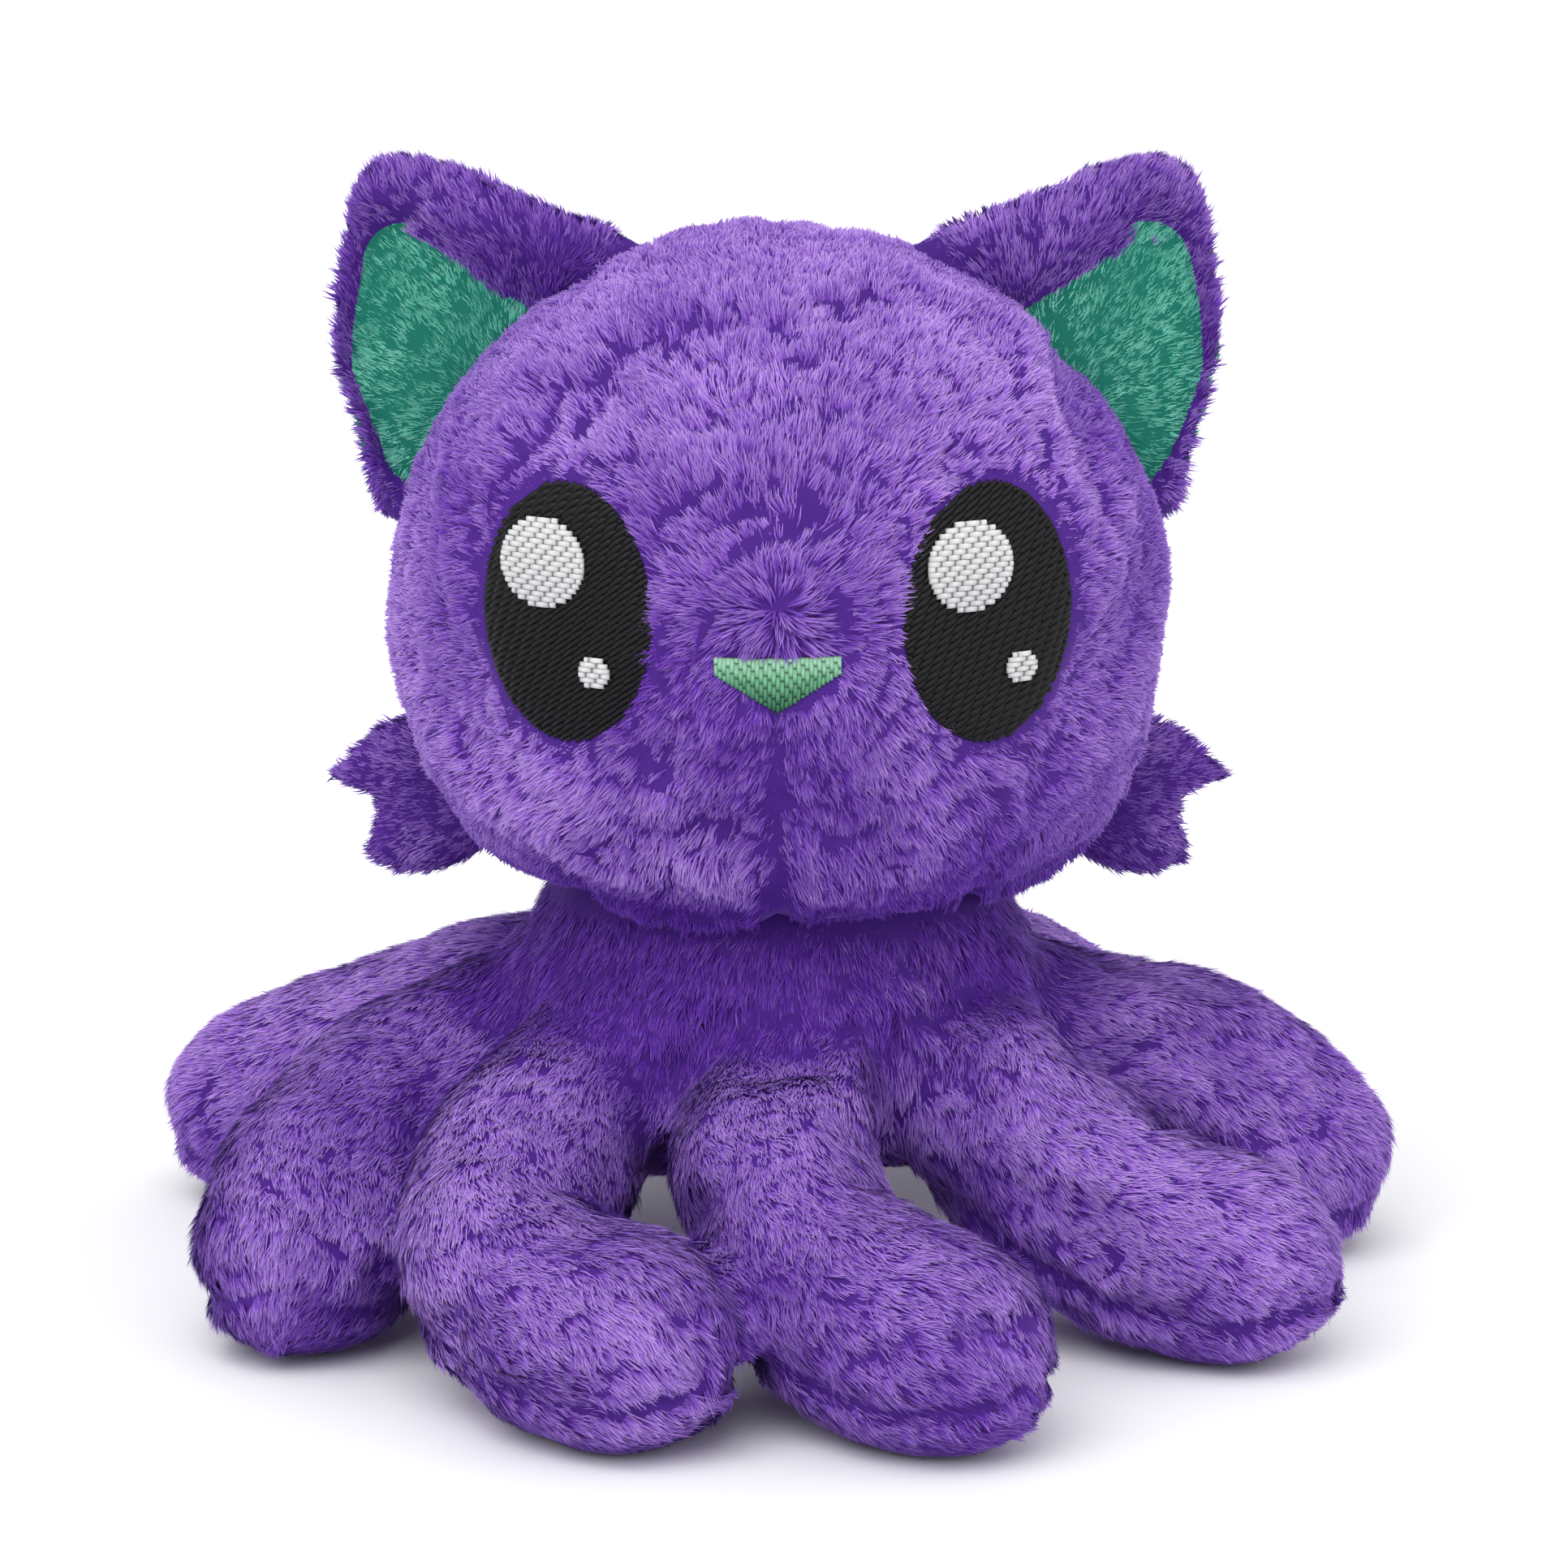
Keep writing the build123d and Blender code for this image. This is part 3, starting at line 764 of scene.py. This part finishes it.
p = p + normals * (lumps - seam_depth - 0.8 * (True))[:, None]
p = relax(p, edges, np.full(len(p), 0.3), 1)
p[:, 2] = np.maximum(p[:, 2], 0.9 + 0.35 * (1 + ripple(p, 16, 5)) * 0.5)
write_points(body.data, p)
p, tris, normals = read_mesh(body)
centres = p[tris].mean(1)
owner = arm_of(centres)
ways = [unit(arm.root * [1, 1, 0]) for arm in ARMS]
reach = (centres * np.array(ways)[owner]).sum(1)
owner = np.where(reach > ARM_STARTS, owner, -1)


def arm_flow(arm):
    """An arm's pile lies towards its tip and down, and wanders a little from side to side."""
    def flow(root, n):
        at, _, direction, _ = arm.along(root)
        past_tip = smooth(at, arm.length - 2, arm.length + 14)[:, None]
        wander = 0.25 * ripple(root, 26, 6)[:, None] * np.cross(n, direction)
        to_tip = unit(arm.tip - arm.line[-4])
        return direction * (1 - 0.2 * past_tip) + np.array([0, 0, -0.35]) + wander + 0.1 * to_tip
    return flow


def body_flow(root, n):
    return unit(root * [1, 1, 0]) * 0.7 + np.array([0, 0, -1.0])


def body_length(root):
    """Short where it lies on the floor, and none inside the head's underside."""
    low = smooth(root[:, 2], 0.5, 7)
    inside = smooth(root[:, 2], 74, 68)
    return PILE * (0.35 + 0.65 * low) * inside


def arm_length(arm):
    """Pile length on an arm: short beside its seam, and where it lies on the floor."""
    def length(root):
        at, out, direction, radius = arm.along(root)
        gap = arm.seam_gap(out, direction, radius)
        return body_length(root) * (1 - 0.6 * np.exp(-(gap / 1.3) ** 2) * smooth(at, 6, 22))
    return length


def plush_tint_with_painted_light(root, n):
    """Tint: brighter on top as painted light from above, with random tone, and darker near the axis under the
    head as painted shade.
    """
    near_axis = smooth(62 - np.hypot(root[:, 0], root[:, 1]), 0, 14)
    painted_shade_under_head = near_axis * smooth(root[:, 2], 40, 56) * smooth(84 - root[:, 2], 0, 8)
    # The upward part of n paints light on top; the term under the head paints shade.
    return 0.44 + 0.24 * n[:, 2] + 0.20 * ripple(root, 46, 7) - 0.6 * painted_shade_under_head


def lift_off_floor(fur, points):
    """The same pile, pressed flat where it and the backing would go through the floor."""
    verts = fur[0]
    verts[:, 2] = np.maximum(verts[:, 2], FLOOR_GAP + 0.4 * np.random.default_rng(5).random(len(verts)))
    points[:, 2] = np.maximum(points[:, 2], FLOOR_GAP)
    return fur


for i, arm in enumerate(ARMS):
    rng = np.random.default_rng(SEED + 10 + i)
    mp, mt, mn = part_of(p, tris, normals, owner == i)
    fur = lift_off_floor(grow(mp, mt, mn, arm_flow(arm), arm_length(arm), plush_tint_with_painted_light, rng), mp)
    piece = furry(arm.name, mp, mt, mn, fur, PLUSH)
    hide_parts(f"{arm.name}_upper_panel", f"{arm.name}_under_panel", f"{arm.name}_fill")
    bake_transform(piece)

rng = np.random.default_rng(SEED + 30)
mp, mt, mn = part_of(p, tris, normals, owner < 0)
fur = lift_off_floor(grow(mp, mt, mn, body_flow, body_length, plush_tint_with_painted_light, rng), mp)
torso = furry("torso", mp, mt, mn, fur, PLUSH)
soft_piece(torso, "torso", ["torso_cover", "belly_panel", "torso_fill", "arm_root_seams"])
bpy.data.objects.remove(body)

# ---- the neck, inside the covers --------------------------------------------------------------------
# Gathered cloth, as radius and height from its foot up.
NECK_CURVE = [(18, 63), (22, 65), (23.5, 67.5), (22.5, 69), (24.5, 71), (25, 73), (23, 76), (12, 77)]
GATHERS = 24
turn = np.linspace(0, 2 * math.pi, 2 * GATHERS, endpoint=False)
gather = 0.5 * np.cos(GATHERS * turn)
rings = [ring_about_axis(r + gather, z, turn) for r, z in NECK_CURVE]
faces = grid_faces(len(rings), len(turn)) + [lid[::-1] for lid in lids(rings)]
neck = make_object("neck", np.concatenate(rings), faces, cloth_material("neck_backing", (86, 52, 130)))
soft_piece(neck, "neck", ["neck_fill", "neck_collar", "neck_seam"])

# ---- the head ---------------------------------------------------------------------------------------
points, faces = head_skin()
head = remesh("head_form", points, faces, 2.4)
hp, _, _ = read_mesh(head)
chin = smooth(-hp[:, 1], 0, 10) * smooth(114 - hp[:, 2], 0, 6)
on_seam = np.exp(-(hp[:, 0] / 3) ** 2) * (chin + smooth(hp[:, 1], 0, 10))
stitched = smooth(on_patch(hp[:, 0], hp[:, 2], 3), 0, 2) * (hp[:, 1] < 0)
held = np.clip(np.maximum(on_seam, stitched), 0, 1)
hp = puff(head, held, 1.8)
hp = relax(hp, neighbours(head.data), np.full(len(hp), 0.2), 1)
write_points(head.data, hp)
hp, htris, hnormals = read_mesh(head)
face_tree = BVHTree.FromPolygons([Vector(v) for v in hp], htris.tolist())


def head_flow(root, n):
    """The head's pile lies away from a point above the nose, then down and to the back."""
    away = root - np.array(NAP_CENTRE)
    away = unit(away) * np.minimum(1, np.linalg.norm(away, axis=1) / 9)[:, None]
    down = np.array([0, 0, -1.0]) * smooth(-root[:, 2] + 100, 0, 30)[:, None]
    back = np.array([0, 0.6, -0.8]) * smooth(root[:, 1], -10, 40)[:, None]
    x = root[:, :1]
    chin = (smooth(112 - root[:, 2], 0, 10) * smooth(-root[:, 1], 0, 10))[:, None]
    part = np.sign(x) * [1.0, 0, 0] * np.exp(-(x / 6) ** 2) * chin
    return away + 0.5 * down + 1.2 * back + 0.6 * part


def head_length(root):
    """Short round the nose and beside the seams, and none on the eyes and nose."""
    inside = on_patch(root[:, 0], root[:, 2], 0)
    clear = np.where(root[:, 1] < -20, np.clip(-inside + 0.2, 0, 99), 99)
    bridge = 1.5 * np.exp(-(root[:, 0] / 7) ** 2 - ((root[:, 2] - 129) / 8) ** 2) * (root[:, 1] < 0)
    short = 0.8 + 0.2 * smooth(np.abs(root[:, 0]) + np.abs(root[:, 2] - 118), 10, 40)
    seam = np.exp(-(root[:, 0] / 1.3) ** 2) * smooth(NOSE_Z - 5 - root[:, 2], 0, 4)
    seam = seam * smooth(-root[:, 1], 0, 10)
    dart = np.exp(-((np.abs(root[:, 0]) - 33 - (root[:, 2] - 74) * 0.45) / 1.2) ** 2)
    dart = dart * smooth(90 - root[:, 2], 0, 8) * smooth(-root[:, 1], 0, 12)
    short = short * (1 - 0.55 * np.maximum(seam, dart))
    return np.where(clear < 0.15, 0, np.minimum((PILE + bridge) * short, clear * 1.3 + 0.9))


rng = np.random.default_rng(SEED + 50)
centres = hp[htris].mean(1)
quarters = [
    ("face_left", (centres[:, 0] < 0) & (centres[:, 1] < 0)),
    ("face_right", (centres[:, 0] >= 0) & (centres[:, 1] < 0)),
    ("head_back_left", (centres[:, 0] < 0) & (centres[:, 1] >= 0)),
    ("head_back_right", (centres[:, 0] >= 0) & (centres[:, 1] >= 0)),
]
for k, (name, mask) in enumerate(quarters):
    mp, mt, mn = part_of(hp, htris, hnormals, mask)
    fur = grow(mp, mt, mn, head_flow, head_length, plush_tint_with_painted_light, rng)
    piece = furry(name, mp, mt, mn, fur, PLUSH)
    side = "left" if "left" in name else "right"
    node = "face_panel_" if "face" in name else "head_back_panel_"
    soft_piece(piece, "head", [node + side] + (["head_fill"] if k == 0 else []))


# ---- embroidery -------------------------------------------------------------------------------------
def on_face(x, z, lift):
    """Points on the head's front at those places, that far off the backing, and the normals there."""
    spots, facing = [], []
    for a, b in zip(x, z):
        hit, normal, _, _ = face_tree.ray_cast(Vector((a, -200, b)), Vector((0, 1, 0)))
        spots.append(hit)
        facing.append(normal)
    spots, facing = np.array(spots), np.array(facing)
    n = unit(facing * 0.3 + outline_normals(np.asarray(x, float), np.asarray(z, float)) * 0.7)
    return spots + n * np.reshape(lift, (-1, 1)), n


def stitches(inside, box, angle, pitch, length, height, lift, domed, rng):
    """Rows of thread that fill a patch. Returns points, faces, and u, v for each point."""
    (x0, x1), (z0, z1) = box
    along_way = np.array([math.cos(angle), math.sin(angle)])
    over = np.array([-along_way[1], along_way[0]])
    middle = np.array([(x0 + x1) / 2, (z0 + z1) / 2])
    half = math.hypot(x1 - x0, z1 - z0) / 2
    points, faces, uvs = [], [], []
    for row, w in enumerate(np.arange(-half, half, pitch)):
        t = np.arange(-half, half, 0.12)
        q = middle + over * w + np.outer(t, along_way)
        good = inside(q[:, 0], q[:, 1]) > 0
        if good.sum() < 6:
            continue
        t = t[good]
        low, high = t[0], t[-1]
        cuts = np.arange(math.floor(low / length) * length + (row * 0.38 % 1) * length, high, length)
        cuts = np.concatenate([[low], cuts[(cuts > low + 0.6) & (cuts < high - 0.6)], [high]])
        cuts = cuts + np.concatenate([[-0.1], rng.normal(0, 0.10, len(cuts) - 2), [0.1]])
        for start, end in zip(cuts[:-1], cuts[1:]):
            s = np.linspace(0, 1, 7)
            line = middle + over * (w + rng.normal(0, 0.03))
            centre = line + np.outer(start + (end - start) * s, along_way)
            arch = np.sqrt(np.maximum(np.sin(math.pi * (0.03 + 0.94 * s)), 0))
            dome = domed(centre[:, 0], centre[:, 1])
            first = len(points)
            for e, h in ((-0.52, -0.25), (-0.36, 0.62), (0, 1.0), (0.36, 0.62), (0.52, -0.25)):
                q = centre + over * e * pitch
                spots, _ = on_face(q[:, 0], q[:, 1], lift + dome + height * (h * arch - 0.9 * (1 - arch)))
                for j, spot in enumerate(spots):
                    points.append(spot)
                    uvs.append((np.clip((z1 - centre[j, 1]) / (z1 - z0), 0.02, 0.98), 0.02 + 0.96 * s[j]))
            for e in range(4):
                for j in range(6):
                    a = first + e * 7 + j
                    faces.append((a, a + 1, a + 8, a + 7))
    return points, faces, uvs


def embroidery(name, mat, parts):
    """One patch as a piece that rides on the head, from its backings and stitches."""
    points, faces, uvs = [], [], []
    for more, quads, uv in parts:
        faces += [tuple(i + len(points) for i in q) for q in quads]
        points += list(more)
        uvs += list(uv)
    obj = make_object(name, points, faces, mat)
    mesh = obj.data
    layer = mesh.uv_layers.new(name="OFBake")
    order = np.empty(len(mesh.loops), np.int64)
    mesh.loops.foreach_get("vertex_index", order)
    layer.data.foreach_set("uv", np.array(uvs)[order].astype(np.float32).ravel())
    mesh.polygons.foreach_set("use_smooth", [True] * len(mesh.polygons))
    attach(obj, "head")
    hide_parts(name)
    return obj


def backing(inside, box, lift, domed):
    """The flat cloth under a patch, a little inside its edge."""
    (x0, x1), (z0, z1) = box
    xs, zs = np.arange(x0, x1 + 0.1, 0.7), np.arange(z0, z1 + 0.1, 0.7)
    gx, gz = np.meshgrid(xs, zs)
    good = inside(gx.ravel(), gz.ravel()) > 0.15
    spots, _ = on_face(gx.ravel(), gz.ravel(), lift + domed(gx.ravel(), gz.ravel()))
    faces = []
    for i in range(len(zs) - 1):
        for j in range(len(xs) - 1):
            quad = (i * len(xs) + j, i * len(xs) + j + 1, (i + 1) * len(xs) + j + 1, (i + 1) * len(xs) + j)
            if all(good[q] for q in quad):
                faces.append(quad)
    used = sorted({q for face in faces for q in face})
    place = {q: i for i, q in enumerate(used)}
    # The backing takes v near the stitch ends, so it is darkened too: painted shade between the stitches.
    uv = [(float(np.clip((z1 - gz.ravel()[q]) / (z1 - z0), 0.02, 0.98)), 0.03) for q in used]
    return [spots[q] for q in used], [tuple(place[q] for q in face) for face in faces], uv


def oval(cx, cz, rx, rz):
    """A function that says how far inside an oval a place is."""
    return lambda x, z: (1 - np.hypot((x - cx) / rx, (z - cz) / rz)) * min(rx, rz)


def nose_inside(x, z):
    """How far inside the nose, a triangle with round corners, a place is."""
    top, low, r = NOSE_Z + NOSE_HEIGHT / 2, NOSE_Z - NOSE_HEIGHT / 2, NOSE_CORNER
    corners = [(-NOSE_HALF_WIDTH + r, top - r), (NOSE_HALF_WIDTH - r, top - r), (0, low + r)]
    depth = np.full(np.shape(x), 99.0)
    for (ax, az), (bx, bz) in zip(corners, corners[1:] + corners[:1]):
        run = math.hypot(bx - ax, bz - az)
        ox, oz = (bz - az) / run, -(bx - ax) / run
        if (0 - ax) * ox + (NOSE_Z - az) * oz > 0:
            ox, oz = -ox, -oz
        depth = np.minimum(depth, r - ((x - ax) * ox + (z - az) * oz))
    return depth


def nose_dome(x, z):
    return 1.3 * smooth(nose_inside(x, z), 0, 3.2)


def box_round(cx, cz, rx, rz):
    return (cx - rx, cx + rx), (cz - rz, cz + rz)


for name, s in (("left", -1), ("right", 1)):
    rng = np.random.default_rng(SEED + 70 + s)
    cx = s * EYE_X
    eye = oval(cx, EYE_Z, EYE_HALF_WIDTH, EYE_HALF_HEIGHT)
    eye_box = box_round(cx, EYE_Z, EYE_HALF_WIDTH, EYE_HALF_HEIGHT)

    def eye_dome(x, z, eye=eye):
        return 0.5 * smooth(eye(x, z), 0, 3)

    rows = stitches(eye, eye_box, math.radians(38), 0.8, 3.1, 0.34, 0.35, eye_dome, rng)
    embroidery(f"eye_{name}", EYE_THREAD, [backing(eye, eye_box, 0.2, eye_dome), rows])
    marks = []
    for dx, dz, radius in ((-3.5, 8, GLEAM_RADIUS), (5, -9, GLINT_RADIUS)):
        spot = oval(cx + dx, EYE_Z + dz, radius, radius)
        spot_box = box_round(cx + dx, EYE_Z + dz, radius, radius)
        marks.append(backing(spot, spot_box, 0.75, eye_dome))
        marks.append(stitches(spot, spot_box, 0.0, 0.82, 2.4, 0.36, 0.9, eye_dome, rng))
    embroidery(f"eye_gleam_{name}", GLEAM_THREAD, marks)

rng = np.random.default_rng(SEED + 75)
nose_box = box_round(0, NOSE_Z, NOSE_HALF_WIDTH, NOSE_HEIGHT / 2)
rows = stitches(nose_inside, nose_box, math.pi / 2, 0.66, 2.3, 0.32, 0.5, nose_dome, rng)
embroidery("nose", NOSE_THREAD, [backing(nose_inside, nose_box, 0.35, nose_dome), rows])
bpy.data.objects.remove(head)

# ---- ears -------------------------------------------------------------------------------------------
def ear_frame(side):
    """Origin on the head's outline, and the ear's axes: along its seam, outward, and towards the face."""
    lean = math.radians(EAR_LEAN) * side
    out = np.array([math.sin(lean), 0, math.cos(lean)])
    along = np.array([math.cos(lean), 0, -math.sin(lean)])
    centre = np.array([HEAD_HALF_WIDTH - HEAD_SIDE_RADIUS, 0, 0]) * [side, 1, 1]
    reach = centre @ out + math.sqrt(HEAD_SIDE_RADIUS**2 - (centre @ along) ** 2)
    return np.array([0, EAR_Y, HEAD_Z]) + out * reach, along, out, np.array([0, -1.0, 0])


def round_discs(discs, side, steps=96):
    """Outline drawn tight round discs, each given as x towards the crown, y outward, and radius."""
    turn = np.linspace(0, 2 * math.pi, 48, endpoint=False)
    cloud = [[-side * x + r * math.cos(t), y + r * math.sin(t)] for x, y, r in discs for t in turn]
    cloud = sorted(map(tuple, np.round(cloud, 6)))

    def turns_in(a, b, c):
        return np.cross(np.subtract(b, a), np.subtract(c, a)) <= 0

    def chain(spots):
        kept = []
        for q in spots:
            while len(kept) > 1 and turns_in(kept[-2], kept[-1], q):
                kept.pop()
            kept.append(q)
        return kept[:-1]

    hull = np.array(chain(cloud) + chain(cloud[::-1]))
    closed = np.concatenate([hull, hull[:1]])
    run = np.concatenate([[0], np.cumsum(np.linalg.norm(np.diff(closed, axis=0), axis=1))])
    even = np.linspace(0, run[-1], steps, endpoint=False)
    ring = np.stack([np.interp(even, run, closed[:, k]) for k in range(2)], 1)
    return rounded(ring)


def ear_shape(side):
    """The purple cover as rings: from the middle of the back, round the rolled edge, and in to the middle of
    the well for the lining."""
    rim = round_discs(EAR_OUTLINE, side)
    well = round_discs(EAR_LINING, side)
    start = np.argmax(rim @ [side, 0.2])
    rim = np.roll(rim, -start, axis=0)
    well = np.roll(well, -np.argmin(np.linalg.norm(well - rim[0], axis=1)), axis=0)
    middle = well.mean(0)
    back_middle = rim.mean(0)
    rings = []
    for scale, depth in ((0.02, 3.4), (0.3, 3.9), (0.6, 4.1), (0.82, 3.4), (0.94, 2.1), (0.985, 0.2)):
        rings.append(np.column_stack([scaled(rim, back_middle, scale), np.full(len(rim), -depth)]))
    for share, depth in ((0.06, 2.2), (0.28, 3.9), (0.58, 4.2), (0.85, 3.1), (1.0, 1.0)):
        rings.append(np.column_stack([rim + (well - rim) * share, np.full(len(rim), depth)]))
    for scale in (0.8, 0.4, 0.02):
        rings.append(np.column_stack([scaled(well, middle, scale), np.full(len(rim), -0.4)]))
    for ring in rings:
        ring[:, 2] += ear_cup(ring)
    points = np.concatenate(rings)
    faces = grid_faces(len(rings), len(rim)) + lids(rings)
    origin, along, out, face = ear_frame(side)
    return origin + points @ np.array([along, out, face]), faces, well


def ear_cup(spots):
    """The ear is a shallow cup: its edges come forward."""
    return 0.0016 * (spots[:, 0] ** 2 + (spots[:, 1] - 14) ** 2) - 0.4


def ear_pieces(side, name):
    """One ear: its furred cover, and the lining in its well."""
    origin, along, out, face = ear_frame(side)
    axes = np.array([along, out, face])
    points, faces, well = ear_shape(side)
    form = remesh(f"{name}_form", points, faces, 1.6)
    ep, _, _ = read_mesh(form)
    edges = neighbours(form.data)
    ep = relax(ep, edges, np.full(len(ep), 0.5), 3)
    local = (ep - origin) @ axes.T
    write_points(form.data, ep)
    ep = puff(form, smooth(-local[:, 1], -2, 4), 0.9)
    ep = ep + 0.3 * ripple(ep, 14, 8)[:, None] * face
    write_points(form.data, ep)
    ep, et, en = read_mesh(form)
    bpy.data.objects.remove(form)
    middle = well.mean(0)

    def ear_flow(root, n):
        spot = (root - origin) @ axes.T
        way = spot[:, :2] - middle
        return way[:, :1] * along * 0.5 + way[:, 1:] * out + out * 9

    def ear_length(root):
        spot = (root - origin) @ axes.T
        return 2.7 * smooth(spot[:, 1], -5, 0) + 0.4

    def ear_tint_with_painted_light(root, n):
        # Brighter where the ear faces up: painted light from above, with random tone.
        return 0.40 + 0.15 * n[:, 2] + 0.08 * ripple(root, 20, 9)

    rng = np.random.default_rng(SEED + 80 + side)
    fur = grow(ep, et, en, ear_flow, ear_length, ear_tint_with_painted_light, rng)
    cover = furry(name, ep, et, en, fur, PLUSH)
    soft_piece(cover, name, [f"{name}_back_panel", f"{name}_rim", f"{name}_fill"])
    rings = []
    scales = (0.02, 0.3, 0.55, 0.78, 0.93, 1.06)
    for scale in scales:
        ring = scaled(well, middle, scale)
        bulge = 2.4 * (1 - (scale / scales[-1]) ** 2)
        rings.append(np.column_stack([ring, 0.6 + bulge + ear_cup(ring)]))
    n = len(well)
    local = np.concatenate(rings)
    back = local - [0, 0, 1.1]
    shell = np.concatenate([local, back])
    faces = [f[::-1] for f in grid_faces(len(rings), n)] + [tuple(range(n))]
    faces += [tuple(i + len(local) for i in f[::-1]) for f in faces]
    last = (len(rings) - 1) * n
    for j in range(n):
        k = (j + 1) % n
        faces.append((last + j, last + k, len(local) + last + k, len(local) + last + j))
    form = make_object(f"{name}_lining_form", origin + shell @ axes, faces, None)
    modifier = form.modifiers.new("Smooth", "SUBSURF")
    modifier.levels = 1
    lp, lt, ln = read_mesh(form)
    bpy.data.objects.remove(form)
    front = (ln @ face)[lt].mean(1) > -0.2

    def lining_length(root):
        spot = (root - origin) @ axes.T
        return 2.0 * smooth(spot[:, 1], -6, 0) + 0.4

    def lining_shade(root, n):
        return 0.5 + 0.15 * ripple(root, 16, 10)

    gp, gt, gn = part_of(lp, lt, ln, front)
    fur = grow(gp, gt, gn, ear_flow, lining_length, lining_shade, rng)
    lining = furry(f"{name}_lining", lp, lt, ln, fur, EAR_PLUSH)
    soft_piece(lining, name, [f"{name}_lining"])


for side, name in ((-1, "ear_left"), (1, "ear_right")):
    ear_pieces(side, name)

# ---- cheek tufts ------------------------------------------------------------------------------------
def tuft(side, name):
    """One flat, two-pointed tuft beside the cheek."""
    edge = np.array(TUFT_OUTLINE, float) * [side, 1]
    if side < 0:
        edge = edge[::-1]
    fine = []
    for a, b in zip(edge, np.roll(edge, -1, axis=0)):
        fine += [a + (b - a) * t for t in np.linspace(0, 1, 7, endpoint=False)]
    fine = rounded(np.array(fine))
    middle = np.array([side * TUFT_MIDDLE[0], TUFT_MIDDLE[1]])
    rings = []
    half = [(0.05, 2.2), (0.4, 2.3), (0.7, 1.9), (0.9, 1.1)]
    for scale, depth in (*half, (1.0, 0.0), *((scale, -depth) for scale, depth in half[::-1])):
        ring = scaled(fine, middle, scale)
        rings.append(np.column_stack([ring[:, 0], np.full(len(fine), TUFT_Y + depth), ring[:, 1]]))
    faces = grid_faces(len(rings), len(fine)) + lids(rings)
    form = remesh(f"{name}_form", np.concatenate(rings), faces, 1.2)
    tp, _, _ = read_mesh(form)
    write_points(form.data, relax(tp, neighbours(form.data), np.full(len(tp), 0.5), 2))
    tp, tt, tn = read_mesh(form)
    bpy.data.objects.remove(form)

    def tuft_flow(root, n):
        return np.array([side * 1.0, 0, 0]) + (root - [middle[0], 0, middle[1]]) * [0.02, 0, 0.05]

    def tuft_length(root):
        return np.full(len(root), 2.6)

    def tuft_shade(root, n):
        return 0.26 + 0.15 * ripple(root, 9, 9)

    rng = np.random.default_rng(SEED + 90 + side)
    fur = grow(tp, tt, tn, tuft_flow, tuft_length, tuft_shade, rng)
    piece = furry(name, tp, tt, tn, fur, PLUSH)
    soft_piece(piece, name, [f"{name}_front", f"{name}_back"])


for side, name in ((-1, "cheek_tuft_left"), (1, "cheek_tuft_right")):
    tuft(side, name)

# ---- floor, light and camera ------------------------------------------------------------------------
floor_mat, nodes, links, shader = material("floor", 0.9)
cloud = nodes.new("ShaderNodeTexNoise")
cloud.inputs["Scale"].default_value = 6
tone = ramp(nodes, [(0.3, (250, 250, 251)), (0.7, (252, 252, 253))])
links.new(cloud.outputs["Fac"], tone.inputs[0])
links.new(tone.outputs[0], shader.inputs["Base Color"])
bpy.ops.mesh.primitive_plane_add(size=80, location=(0, 0, 0))
floor = bpy.context.object
floor.name = "floor"
floor.data.materials.append(floor_mat)

world = bpy.data.worlds.new("studio")
bpy.context.scene.world = world
world.use_nodes = True
world.node_tree.nodes["Background"].inputs["Color"].default_value = (1, 1, 1, 1)
world.node_tree.nodes["Background"].inputs["Strength"].default_value = 0.72


def lamp(name, place, strength, spread):
    """A broad, soft light from that direction."""
    data = bpy.data.lights.new(name, "SUN")
    data.energy = strength
    data.angle = math.radians(spread)
    obj = bpy.data.objects.new(name, data)
    bpy.context.scene.collection.objects.link(obj)
    obj.location = place
    obj.rotation_euler = (-Vector(place)).to_track_quat("-Z", "Y").to_euler()


lamp("key", (-0.35, -0.75, 1.1), 1.7, 55)
lamp("fill", (0.9, -0.5, 0.8), 0.5, 70)

camera = bpy.data.objects.new("camera", bpy.data.cameras.new("camera"))
bpy.context.scene.collection.objects.link(camera)
elevation = math.radians(12)
aim = Vector(to_frame([0, 0, 87]))
camera.location = aim + Vector((0, -math.cos(elevation), math.sin(elevation))) * 0.9
camera.rotation_euler = (math.pi / 2 - elevation, 0, 0)
camera.data.sensor_width = 36
camera.data.lens = 117.4
camera.data.shift_x = 0.0041
camera.data.clip_start = 0.01
bpy.context.scene.view_settings.view_transform = "Standard"
bpy.context.scene.camera = camera
